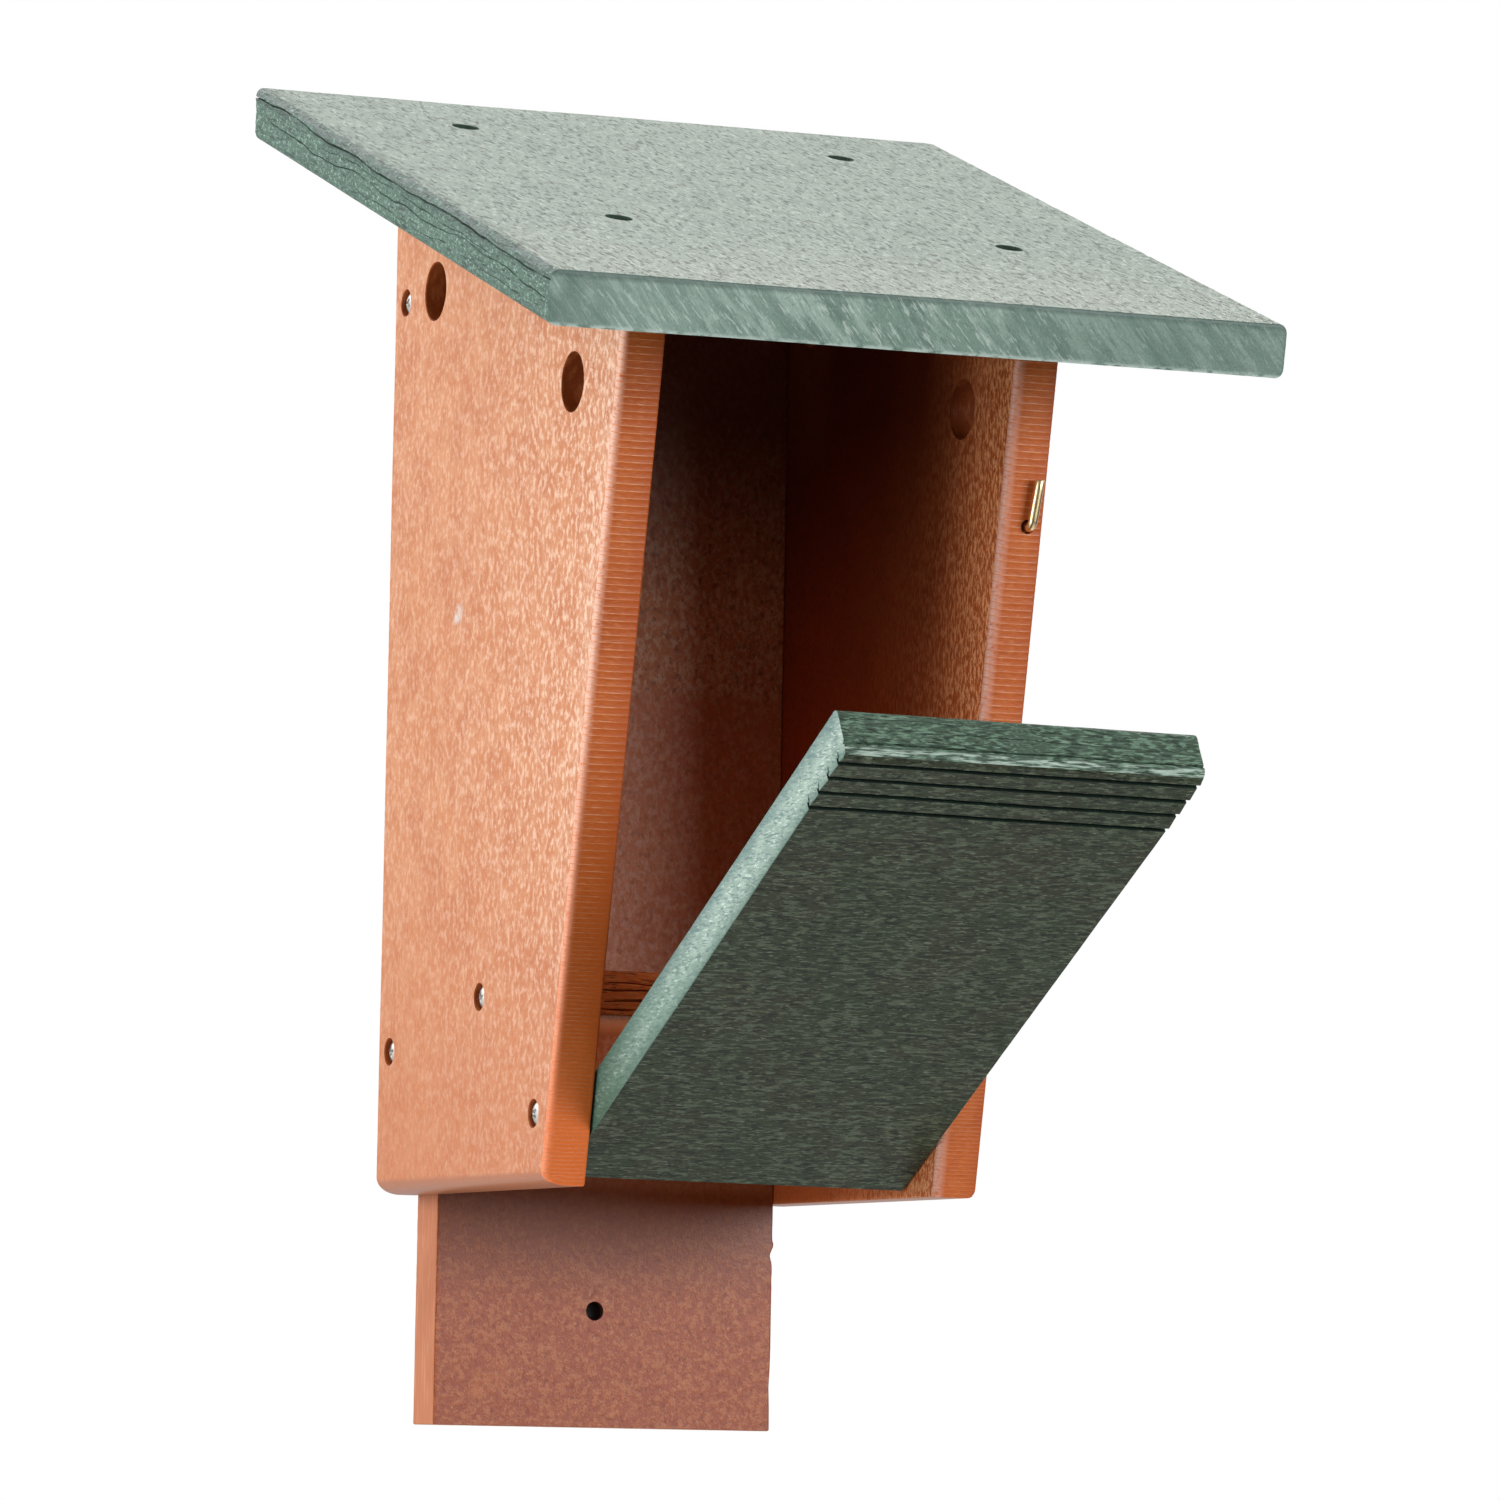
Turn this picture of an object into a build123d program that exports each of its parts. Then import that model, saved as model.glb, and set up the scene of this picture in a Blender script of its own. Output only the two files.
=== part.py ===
"""Slot-entrance birdhouse of recycled-plastic boards, with a front door that tips forward.

Frame: +X to the right seen from the front, +Y into the wall, +Z up.
The origin is on the back face, on the centre line, 2.2 mm above the bottom of the side boards.
All dimensions are in millimetres.
"""
import os
from math import cos, radians, sin, tan

from build123d import *

# ---- boards -------------------------------------------------------------------------------
side_thick = 14.3
roof_thick = 16.6
door_thick = 16.0
back_thick = 18.5
floor_thick = 14.3
board_round = 3.0          # rounding that the extrusion die leaves on a board's long edges
arris = 0.4                # light break on sawn edges

inner_width = 118.0        # between the two side boards
outer_width = inner_width + 2 * side_thick
side_mid = (inner_width + side_thick) / 2

# ---- side boards: upright back edge, front edge leaning forward towards the top -------------
side_bottom = -2.2         # height of the side boards' bottom edge
side_bottom_depth = 147.8  # from the back face to the front edge's line at height 0
left_foot_high = 4.4       # slant that is worn on the left board's outer bottom edge
left_foot_wide = 8.0
front_lean = 11.46         # degrees from upright

# ---- roof: one board, falling to the front ------------------------------------------------
roof_back_top = 356.6      # height of the roof's upper back edge
roof_slope = 19.0          # degrees from level
roof_length = 284.0
roof_width = 242.8
roof_mid_x = -2.0          # the roof sits a little left of the box
roof_end_slant = 2.4       # the front end's lower edge stands this much further down the slope

# ---- back board and its mounting holes ----------------------------------------------------
back_tail = 76.4           # how far the back board reaches below the origin
mount_hole_radius = 3.0
mount_hole_x = -3.5
lower_hole_z = -38.5
upper_hole_z = 230.0

# ---- floor board --------------------------------------------------------------------------
floor_top = 65.4
floor_front = 139.2        # distance from the back face to the floor board's front edge

# ---- door ---------------------------------------------------------------------------------
door_width = inner_width - 1.2
door_length = 246.0
door_skew = 2.6            # the board is cut out of square: its left side stands this much higher
door_bevel = 3.3           # its bottom end is cut back towards the inner face, to clear the floor
door_open = 61.4           # degrees from upright, as the door stands
pivot_depth = 138.4        # pivot axis, distance in front of the back face
pivot_z = 20.2
pivot_from_outer = 11.0    # pivot axis to the door's outer face
pivot_from_bottom = 20.6
kerf_offsets = (5.9, 13.9, 21.9, 29.9)   # toehold kerfs, from the door's top edge
kerf_width = 1.8
kerf_depth = 2.2

# ---- air vents ----------------------------------------------------------------------------
vent_radius = 9.4
vent_places = ((36.5, 288.7), (158.6, 246.0))   # distance from the back face, height

# ---- screws -------------------------------------------------------------------------------
screw_length = 32.0        # under the head
screw_radius = 2.0
screw_head_radius = 3.6
screw_head_height = 2.1
drive_length = 4.0
drive_width = 1.0
drive_depth = 1.3
recess_radius = 4.3        # counterbore that sinks each head
recess_depth = 2.6
roof_recess_depth = 5.0
hold_gap = 0.05            # radial, where a screw grips
turn_gap = 0.08            # radial, where a pivot screw turns in a side board
pivot_head_gap = 0.3       # under a pivot screw's head
roof_screw_slopes = (44.2, 187.0)         # along the slope from the upper back edge
back_screw_heights = (("lower", 43.7), ("upper", 288.0))
floor_screw_depth = 89.3

# ---- square-bend hook on the right side board's front edge ---------------------------------
hook_wire = 1.5            # wire radius
hook_bend = 2.3            # bend radius of the wire's centre line
hook_x = 68.3
hook_z = 206.4
hook_standoff = 3.0        # arm's centre line in front of the edge
hook_arm = 15.2
hook_shank = 16.0
hook_tip_break = 0.3
hook_turn = 5.0            # degrees that the arm leans outward from the edge's direction
hook_gap = 0.08
hook_mouth_radius = 2.2
hook_mouth_depth = 3.0

# ---- directions and heights worked out from the dimensions ----------------------------------
roof_drop = tan(radians(roof_slope))
roof_along = Vector(0, -cos(radians(roof_slope)), -sin(radians(roof_slope)))
roof_up = Vector(0, -sin(radians(roof_slope)), cos(radians(roof_slope)))
roof_under_back = roof_back_top - roof_thick / cos(radians(roof_slope))
lean_run = tan(radians(front_lean))
lean_up = Vector(0, -sin(radians(front_lean)), cos(radians(front_lean)))
lean_out = Vector(0, -cos(radians(front_lean)), -sin(radians(front_lean)))
side_top_front = (roof_under_back - roof_drop * side_bottom_depth) / (1 + roof_drop * lean_run)

os.makedirs("parts", exist_ok=True)


def under_roof(depth):
    """Height of the roof's underside at a distance in front of the back face."""
    return roof_under_back - roof_drop * depth


def front_edge(height):
    """Distance from the back face to the side boards' front edge at a height."""
    return side_bottom_depth + lean_run * height


def side_seat(side, depth, height, inset=0.0):
    """Plane on a side board's outer face, facing away from the box; side is -1 or 1."""
    return Plane(
        origin=(side * (outer_width / 2 - inset), -depth, height),
        x_dir=(0, -side, 0),
        z_dir=(side, 0, 0),
    )


def roof_seat(side, along, below=0.0):
    """Plane over a side board, facing up square to the roof, at a depth below its top face."""
    point = Vector(side * side_mid, 0, roof_back_top) + roof_along * along - roof_up * below
    return Plane(origin=point, x_dir=(1, 0, 0), z_dir=roof_up)


def save(part, name):
    """Labels a finished sub-part and writes its STEP file."""
    part.label = name
    export_step(part, f"parts/{name}.step")


# ---- back board ---------------------------------------------------------------------------
with BuildPart() as back_board:
    with BuildSketch(Plane.YZ.offset(-inner_width / 2)):
        with BuildLine():
            Polyline(
                (0, -back_tail),
                (-back_thick, -back_tail),
                (-back_thick, under_roof(back_thick)),
                (0, under_roof(0)),
                close=True,
            )
        make_face()
    extrude(amount=inner_width)
    chamfer(back_board.edges().filter_by(Axis.X).group_by(Axis.Z)[0], length=arris)
    for hole_z in (lower_hole_z, upper_hole_z):
        with Locations(Plane(origin=(mount_hole_x, -back_thick, hole_z), z_dir=(0, -1, 0))):
            Hole(radius=mount_hole_radius)
    for side in (-1, 1):
        for _, height in back_screw_heights:
            with Locations(side_seat(side, back_thick / 2, height, side_thick)):
                Hole(radius=screw_radius + hold_gap, depth=screw_length - side_thick + recess_depth + 1)
save(back_board.part, "back_board")

# ---- side boards --------------------------------------------------------------------------
for side, name in ((-1, "left_side"), (1, "right_side")):
    with BuildPart() as side_board:
        with BuildSketch(Plane.YZ.offset(side * side_mid - side_thick / 2)):
            with BuildLine():
                Polyline(
                    (0, side_bottom),
                    (-front_edge(side_bottom), side_bottom),
                    (-front_edge(side_top_front), side_top_front),
                    (0, under_roof(0)),
                    close=True,
                )
            make_face()
        extrude(amount=side_thick)
        bottom_edges = side_board.edges().filter_by(Axis.Y).group_by(Axis.Z)[0].sort_by(Axis.X)
        outer_bottom = bottom_edges[-1 if side == 1 else 0]
        if side == 1:
            fillet(outer_bottom, radius=board_round)
        else:
            foot_face = side_board.faces().sort_by(Axis.X)[0]
            chamfer(outer_bottom, length=left_foot_high, length2=left_foot_wide, reference=foot_face)
        for depth, height in vent_places:
            with Locations(side_seat(side, depth, height)):
                Hole(radius=vent_radius)
        for _, height in back_screw_heights:
            with Locations(side_seat(side, back_thick / 2, height)):
                CounterBoreHole(screw_radius + hold_gap, recess_radius, recess_depth)
        with Locations(side_seat(side, floor_screw_depth, floor_top - floor_thick / 2)):
            CounterBoreHole(screw_radius + hold_gap, recess_radius, recess_depth)
        with Locations(side_seat(side, pivot_depth, pivot_z)):
            CounterBoreHole(screw_radius + turn_gap, recess_radius, recess_depth)
        for along in roof_screw_slopes:
            with Locations(roof_seat(side, along, roof_thick)):
                Hole(radius=screw_radius + hold_gap, depth=screw_length - roof_thick + roof_recess_depth + 1)
        if side == 1:
            hook_mouth = Plane(
                origin=(hook_x, -front_edge(hook_z), hook_z),
                x_dir=(1, 0, 0),
                z_dir=lean_out,
            )
            with Locations(hook_mouth):
                CounterBoreHole(hook_wire + hook_gap, hook_mouth_radius, hook_mouth_depth, hook_shank + 1)
    save(side_board.part, name)

# ---- floor board --------------------------------------------------------------------------
with BuildPart() as floor_board:
    with BuildSketch(Plane.XY.offset(floor_top - floor_thick)):
        with Locations((0, -(floor_front + back_thick) / 2)):
            Rectangle(inner_width, floor_front - back_thick)
    extrude(amount=floor_thick)
    chamfer(floor_board.faces().sort_by(Axis.Y)[0].edges().filter_by(Axis.X), length=arris)
    for side in (-1, 1):
        with Locations(side_seat(side, floor_screw_depth, floor_top - floor_thick / 2, side_thick)):
            Hole(radius=screw_radius + hold_gap, depth=screw_length - side_thick + recess_depth + 1)
save(floor_board.part, "floor_board")

# ---- roof ---------------------------------------------------------------------------------
roof_top_back = Vector(0, 0, roof_back_top)
roof_top_front = roof_top_back + roof_along * (roof_length - roof_end_slant / 2)
roof_under_front = roof_top_back + roof_along * (roof_length + roof_end_slant / 2) - roof_up * roof_thick
with BuildPart() as roof:
    with BuildSketch(Plane.YZ.offset(roof_mid_x - roof_width / 2)):
        with BuildLine():
            Polyline(
                (0, roof_under_back),
                (0, roof_back_top),
                (roof_top_front.Y, roof_top_front.Z),
                (roof_under_front.Y, roof_under_front.Z),
                close=True,
            )
        make_face()
    extrude(amount=roof_width)
    slope_line = Axis((0, 0, roof_back_top), roof_along)
    fillet(roof.edges().filter_by(slope_line), radius=board_round)
    for side in (-1, 1):
        for along in roof_screw_slopes:
            with Locations(roof_seat(side, along)):
                CounterBoreHole(screw_radius + hold_gap, recess_radius, roof_recess_depth)
save(roof.part, "roof")

# ---- door ---------------------------------------------------------------------------------
door_up = Vector(0, -sin(radians(door_open)), cos(radians(door_open)))
door_out = Vector(0, -cos(radians(door_open)), -sin(radians(door_open)))
pivot_point = Vector(0, -pivot_depth, pivot_z)
door_foot = pivot_point + door_out * pivot_from_outer - door_up * pivot_from_bottom
door_run = Vector(door_width, 0, 0) - door_up * door_skew
# Local x runs from the outer face to the inner face, local y up the door, and local z to +X.
door_section = Plane(origin=door_foot - door_run / 2, x_dir=-door_out, z_dir=(1, 0, 0))
with BuildPart() as door:
    with BuildSketch(door_section) as door_profile:
        with BuildLine():
            Polyline(
                (0, 0),
                (door_thick, door_bevel),
                (door_thick, door_length),
                (0, door_length),
                close=True,
            )
        make_face()
        fillet(door_profile.vertices().group_by(Axis.Y)[-1], radius=board_round)
        for offset in kerf_offsets:
            with Locations((0, door_length - offset)):
                Rectangle(2 * kerf_depth, kerf_width, mode=Mode.SUBTRACT)
    extrude(amount=door_run.length, dir=door_run.normalized())
    for side in (-1, 1):
        edge_point = pivot_point + Vector(side * door_width / 2, 0, 0)
        with Locations(Plane(origin=edge_point, x_dir=(0, -side, 0), z_dir=(side, 0, 0))):
            Hole(radius=screw_radius + hold_gap, depth=screw_length - side_thick + recess_depth + 1)
save(door.part, "door")


# ---- screws -------------------------------------------------------------------------------
def save_screw(seat, name):
    """Makes one cross-drive screw whose head sits on a seat plane, facing its normal."""
    rim = screw_head_height / 2
    dome_radius = (screw_head_radius**2 + rim**2) / (2 * rim)
    section = Plane(origin=seat.origin, x_dir=seat.x_dir, z_dir=-seat.y_dir)
    with BuildPart() as screw:
        with BuildSketch(section):
            with BuildLine():
                Polyline(
                    (0, screw_head_height),
                    (0, -screw_length),
                    (screw_radius, -screw_length + 3 * screw_radius),
                    (screw_radius, 0),
                    (screw_head_radius, 0),
                    (screw_head_radius, rim),
                )
                RadiusArc((screw_head_radius, rim), (0, screw_head_height), -dome_radius)
            make_face()
        revolve(axis=Axis(seat.origin, seat.z_dir))
        with BuildSketch(seat.offset(screw_head_height)):
            Rectangle(drive_length, drive_width)
            Rectangle(drive_width, drive_length)
        extrude(amount=-drive_depth, mode=Mode.SUBTRACT)
    save(screw.part, name)


for side, side_name in ((-1, "left"), (1, "right")):
    for along, place in zip(roof_screw_slopes, ("back", "front")):
        save_screw(roof_seat(side, along, roof_recess_depth), f"roof_screw_{side_name}_{place}")
    for place, height in back_screw_heights:
        save_screw(side_seat(side, back_thick / 2, height, recess_depth), f"back_screw_{side_name}_{place}")
    save_screw(
        side_seat(side, floor_screw_depth, floor_top - floor_thick / 2, recess_depth),
        f"floor_screw_{side_name}",
    )
    save_screw(
        side_seat(side, pivot_depth, pivot_z, recess_depth - pivot_head_gap),
        f"pivot_screw_{side_name}",
    )

# ---- door hook ----------------------------------------------------------------------------
arm_up = lean_up.rotate(Axis((0, 0, 0), lean_out), -hook_turn)
hook_foot = Vector(hook_x, -front_edge(hook_z), hook_z)
# Local x runs along the shank out of the board, and local y along the arm.
hook_plane = Plane(origin=hook_foot, x_dir=lean_out, z_dir=lean_out.cross(arm_up))
with BuildPart() as door_hook:
    with BuildLine(hook_plane) as hook_path:
        FilletPolyline((-hook_shank, 0), (hook_standoff, 0), (hook_standoff, hook_arm), radius=hook_bend)
    with BuildSketch(Plane(origin=hook_path.line @ 0, z_dir=hook_path.line % 0)):
        Circle(hook_wire)
    sweep()
    tip_face = door_hook.faces().filter_by(GeomType.PLANE).sort_by(Axis((0, 0, 0), arm_up))[-1]
    chamfer(tip_face.edges(), length=hook_tip_break)
save(door_hook.part, "door_hook")
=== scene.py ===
"""Slot-entrance birdhouse of recycled-plastic boards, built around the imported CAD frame.

Frame: +X to the right seen from the front, +Y into the wall, +Z up; the origin is on the back
face, on the centre line, 2.2 mm above the bottom of the side boards.
Shapes are worked out in millimetres and turned into metres when a mesh is made.
"""
import math

import bpy
import numpy as np
from mathutils import Matrix, Vector

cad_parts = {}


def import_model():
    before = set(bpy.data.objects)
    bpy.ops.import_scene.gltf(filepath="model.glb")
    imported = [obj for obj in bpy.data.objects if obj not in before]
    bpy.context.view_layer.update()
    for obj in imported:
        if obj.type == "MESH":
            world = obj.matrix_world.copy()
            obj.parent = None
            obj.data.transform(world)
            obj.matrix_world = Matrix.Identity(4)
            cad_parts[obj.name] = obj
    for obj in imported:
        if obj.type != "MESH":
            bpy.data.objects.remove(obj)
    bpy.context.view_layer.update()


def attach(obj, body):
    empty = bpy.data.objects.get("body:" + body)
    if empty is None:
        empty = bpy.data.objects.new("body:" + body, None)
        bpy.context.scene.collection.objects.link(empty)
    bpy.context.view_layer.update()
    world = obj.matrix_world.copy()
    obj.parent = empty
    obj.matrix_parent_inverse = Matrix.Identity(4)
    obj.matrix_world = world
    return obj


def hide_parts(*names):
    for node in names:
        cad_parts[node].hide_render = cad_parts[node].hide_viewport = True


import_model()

MM = 0.001

for name in ("Cube", "Camera", "Light"):
    if name in bpy.data.objects:
        bpy.data.objects.remove(bpy.data.objects[name])

# ---- dimensions, as in the CAD ----
SIDE_THICK, ROOF_THICK, DOOR_THICK, BACK_THICK, FLOOR_THICK = 14.3, 16.6, 16.0, 18.5, 14.3
BOARD_ROUND, FRONT_ROUND, FLOOR_ROUND, BACK_ROUND = 3.0, 2.0, 0.8, 0.6
SMALL_ROUND = 0.8                      # the side boards' least arrises
INNER_WIDTH = 118.0
SIDE_MID = (INNER_WIDTH + SIDE_THICK) / 2
OUTER_HALF = INNER_WIDTH / 2 + SIDE_THICK
SIDE_BOTTOM_DEPTH, SIDE_BOTTOM = 147.8, -2.2
ROOF_END_SLANT, DOOR_SKEW, DOOR_BEVEL = 2.4, 2.6, 3.3
LEAN = math.radians(11.46)
ROOF_BACK_TOP, ROOF_SLOPE = 356.6, math.radians(19.0)
ROOF_LENGTH, ROOF_WIDTH, ROOF_MID_X = 284.0, 242.8, -2.0
BACK_TAIL = 76.4
HOLE_RADIUS, HOLE_X, HOLE_HEIGHTS = 3.0, -3.5, (-38.5, 230.0)
FLOOR_TOP, FLOOR_FRONT = 65.4, 139.2
DOOR_WIDTH, DOOR_LENGTH = 116.8, 246.0
DOOR_OPEN = math.radians(61.4)
PIVOT_DEPTH, PIVOT_Z, PIVOT_FROM_OUTER, PIVOT_FROM_BOTTOM = 138.4, 20.2, 11.0, 20.6
KERF_OFFSETS, KERF_WIDTH, KERF_DEPTH = (5.9, 13.9, 21.9, 29.9), 1.8, 2.2
VENT_RADIUS, VENT_PLACES = 9.4, ((36.5, 288.7), (158.6, 246.0))
SCREW_LENGTH, SCREW_HEAD_RADIUS, SCREW_HEAD_HEIGHT = 32.0, 3.6, 2.1
RECESS_RADIUS, RECESS_DEPTH, ROOF_RECESS_DEPTH, PIVOT_HEAD_GAP = 4.3, 2.6, 5.0, 0.3
BORE_RADIUS = 2.05
PILOT_DEPTH = SCREW_LENGTH - SIDE_THICK + RECESS_DEPTH + 1   # in a board that a side board is screwed to
ROOF_SCREW_SLOPES = (44.2, 187.0)
BACK_SCREW_HEIGHTS = (("lower", 43.7), ("upper", 288.0))
FLOOR_SCREW_DEPTH = 89.3
HOOK_WIRE, HOOK_BEND, HOOK_X, HOOK_Z = 1.5, 2.3, 68.3, 206.4
HOOK_STANDOFF, HOOK_ARM, HOOK_SHANK, HOOK_TURN = 3.0, 15.2, 16.0, math.radians(5.0)
HOOK_MOUTH_RADIUS, HOOK_MOUTH_DEPTH = 2.2, 3.0

UNDER_BACK = ROOF_BACK_TOP - ROOF_THICK / math.cos(ROOF_SLOPE)
DROP, RUN = math.tan(ROOF_SLOPE), math.tan(LEAN)
SIDE_TOP_FRONT = (UNDER_BACK - DROP * SIDE_BOTTOM_DEPTH) / (1 + DROP * RUN)
SIDE_TOP_DEPTH = SIDE_BOTTOM_DEPTH + RUN * SIDE_TOP_FRONT
HOOK_FOOT = np.array((HOOK_X, -(SIDE_BOTTOM_DEPTH + RUN * HOOK_Z), HOOK_Z))
ROOF_ALONG = np.array((0, -math.cos(ROOF_SLOPE), -math.sin(ROOF_SLOPE)))
ROOF_UP = np.array((0, -math.sin(ROOF_SLOPE), math.cos(ROOF_SLOPE)))
LEAN_OUT = np.array((0, -math.cos(LEAN), -math.sin(LEAN)))
DOOR_UP = np.array((0, -math.sin(DOOR_OPEN), math.cos(DOOR_OPEN)))
DOOR_OUT = np.array((0, -math.cos(DOOR_OPEN), -math.sin(DOOR_OPEN)))
DOOR_FOOT = np.array((0, -PIVOT_DEPTH, PIVOT_Z)) + DOOR_OUT * PIVOT_FROM_OUTER - DOOR_UP * PIVOT_FROM_BOTTOM


# ---- noise ----
def noise(seed, *coords):
    """Smooth noise between -1 and 1 over one, two or three coordinates, one cell to each unit."""
    rng = np.random.default_rng(seed)
    table = rng.uniform(-1, 1, 4096)
    order = rng.permutation(4096)
    cells = [np.floor(c).astype(np.int64) for c in coords]
    parts = [c - f for c, f in zip(coords, cells)]
    parts = [p * p * (3 - 2 * p) for p in parts]
    total = 0.0
    for corner in range(2 ** len(coords)):
        index, weight = 0, 1.0
        for k, (cell, part) in enumerate(zip(cells, parts)):
            up = corner >> k & 1
            index = order[(index + cell + up) & 4095]
            weight = weight * (part if up else 1 - part)
        total = total + weight * table[index]
    return total


def fbm(seed, coords, octaves=3):
    """Noise of several sizes added up, each half the size and half the strength of the last."""
    total, strength = 0.0, 1.0
    for k in range(octaves):
        total = total + strength * noise(seed + 17 * k, *[c * 2.0**k for c in coords])
        strength /= 2
    return total


# ---- boards as shells of a lattice ----
def spread(start, end, step):
    """Even values from start to end, about a step apart."""
    return np.linspace(start, end, max(2, int(round(abs(end - start) / step)) + 1))


def round_lines(half, radius, count=4):
    """Lattice lines that turn an arris of this radius in even angles, up to half the size."""
    return half - radius + radius * np.tan(np.linspace(0, math.pi / 4, count + 1))


def merged(*groups, apart=0.02):
    """Sorted lattice lines from several groups, leaving out any that nearly repeats another."""
    values = np.sort(np.concatenate([np.atleast_1d(g) for g in groups]))
    keep = [values[0]]
    for v in values[1:]:
        if v - keep[-1] > apart:
            keep.append(v)
    return np.array(keep)


def section_lines(half, radii, *fill, cracks=(), apart=0.02):
    """Lattice lines across a board of this half size, with (radius, count) arrises and its cracks' lines."""
    rounds = [sign * round_lines(half, radius, count) for radius, count in radii for sign in (1, -1)]
    lines = merged(*rounds, *(crack.lines() for crack in cracks), *fill, apart=apart)
    lines[0], lines[-1] = -half, half
    return lines


def round_moves(e, t):
    """How far points move inwards, each way, to turn the corner square of an arris into a quarter disc.

    Both lengths are measured outwards from the square's inner corner. Nothing moves outside the square.
    """
    e, t = np.clip(e, 0, None), np.clip(t, 0, None)
    shrink = 1 - np.maximum(e, t) / np.maximum(np.hypot(e, t), 1e-9)
    return e * shrink, t * shrink


def face_means(faces, *values):
    """For each value at the points, its mean over every face's corners."""
    return [np.array([value[face].mean() for face in faces]) for value in values]


def lattice(lines, dense=None, step=1):
    """Shell of a box-shaped lattice: its points, its faces, and each face's side.

    Sides are 0 and 1 at the ends of the first axis, 2 and 3 of the second, 4 and 5 of the third.
    Where dense is false for a line of the second axis, only every step-th line of the first one is used.
    """
    na, nb, nc = (len(line) for line in lines)
    dense = [True] * nb if dense is None else list(dense)
    kept = sorted({*range(0, na - 1, step), na - 1})
    pairs = {True: list(zip(range(na - 1), range(1, na))), False: list(zip(kept, kept[1:]))}

    def at(i, j, k):
        return (i * nb + j) * nc + k

    faces, sides = [], []
    for side, k in ((4, 0), (5, nc - 1)):
        for j in range(nb - 1):
            both = dense[j] and dense[j + 1]
            mixed = dense[j] != dense[j + 1]
            for i0, i1 in pairs[both]:
                left = range(i0, i1 + 1) if dense[j] and mixed else (i0, i1)
                right = range(i0, i1 + 1) if dense[j + 1] and mixed else (i0, i1)
                ring = [at(i, j, k) for i in left] + [at(i, j + 1, k) for i in reversed(right)]
                faces.append(ring if side == 5 else ring[::-1])
                sides.append(side)
    for side, j in ((2, 0), (3, nb - 1)):
        for i0, i1 in pairs[dense[j]]:
            for k in range(nc - 1):
                ring = [at(i0, j, k), at(i1, j, k), at(i1, j, k + 1), at(i0, j, k + 1)]
                faces.append(ring[::-1] if side == 3 else ring)
                sides.append(side)
    for side, i in ((0, 0), (1, na - 1)):
        for j in range(nb - 1):
            for k in range(nc - 1):
                ring = [at(i, j, k), at(i, j + 1, k), at(i, j + 1, k + 1), at(i, j, k + 1)]
                faces.append(ring[::-1] if side == 0 else ring)
                sides.append(side)
    used = np.unique(np.concatenate([np.array(f) for f in faces]))
    renumber = {int(v): n for n, v in enumerate(used)}
    faces = [[renumber[v] for v in f] for f in faces]
    grid = np.meshgrid(*lines, indexing="ij")
    points = [g.ravel()[used] for g in grid]
    return points, faces, np.array(sides)


def linked(name, data):
    """New object in the scene with this mesh, lamp or camera."""
    made = bpy.data.objects.new(name, data)
    bpy.context.scene.collection.objects.link(made)
    return made


def new_object(name, points, faces, materials, slots=None):
    """Object with a mesh of points in millimetres, facing outwards, and its faces' material slots."""
    mesh = bpy.data.meshes.new(name)
    mesh.from_pydata((np.asarray(points) * MM).tolist(), [], faces)
    for material in materials:
        mesh.materials.append(material)
    if slots is not None:
        mesh.polygons.foreach_set("material_index", np.asarray(slots, np.int32))
    mesh.update()
    mesh.calc_loop_triangles()
    corners = np.zeros(len(mesh.loop_triangles) * 3, np.int32)
    mesh.loop_triangles.foreach_get("vertices", corners)
    p = np.asarray(points, float)[corners].reshape(-1, 3, 3)
    volume = np.einsum("ij,ij->i", p[:, 0], np.cross(p[:, 1], p[:, 2])).sum()
    if volume < 0:
        mesh.flip_normals()
    return linked(name, mesh)


def finish_piece(piece, body, node):
    """Puts a finished piece on its body in place of its CAD node."""
    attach(piece, body)
    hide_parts(node)


def frame_of(normal):
    """Two directions square to a normal and to each other."""
    n = np.asarray(normal, float) / np.linalg.norm(normal)
    side = np.cross(n, (1, 0, 0) if abs(n[0]) < 0.9 else (0, 0, 1))
    side /= np.linalg.norm(side)
    return side, np.cross(n, side), n


def tube_faces(rings, segments):
    """Quads between successive rings of points, and one face over each end."""
    faces = []
    for r in range(rings - 1):
        here, below = r * segments, (r + 1) * segments
        for s in range(segments):
            t = (s + 1) % segments
            faces.append([here + s, here + t, below + t, below + s])
    faces.append(list(range(segments - 1, -1, -1)))
    faces.append([(rings - 1) * segments + s for s in range(segments)])
    return faces


def turned(name, origin, normal, profile, segments, materials, slot, ragged=0.0, seed=0):
    """Closed turned form about an axis; profile is (height along the normal, radius) from top to bottom."""
    side, up, n = frame_of(normal)
    angles = np.arange(segments) * 2 * math.pi / segments
    wobble = 1 + ragged * noise(seed, angles * 3.0)
    wobble[-3:] = wobble[-3:] * np.array((0.7, 0.4, 0.15)) + wobble[0] * np.array((0.3, 0.6, 0.85))
    circle = np.outer(np.cos(angles) * wobble, side) + np.outer(np.sin(angles) * wobble, up)
    points = np.concatenate([np.asarray(origin, float) + circle * radius + n * height for height, radius in profile])
    faces = tube_faces(len(profile), segments)
    return new_object(name, points, faces, materials, [slot] * len(faces))


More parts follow.
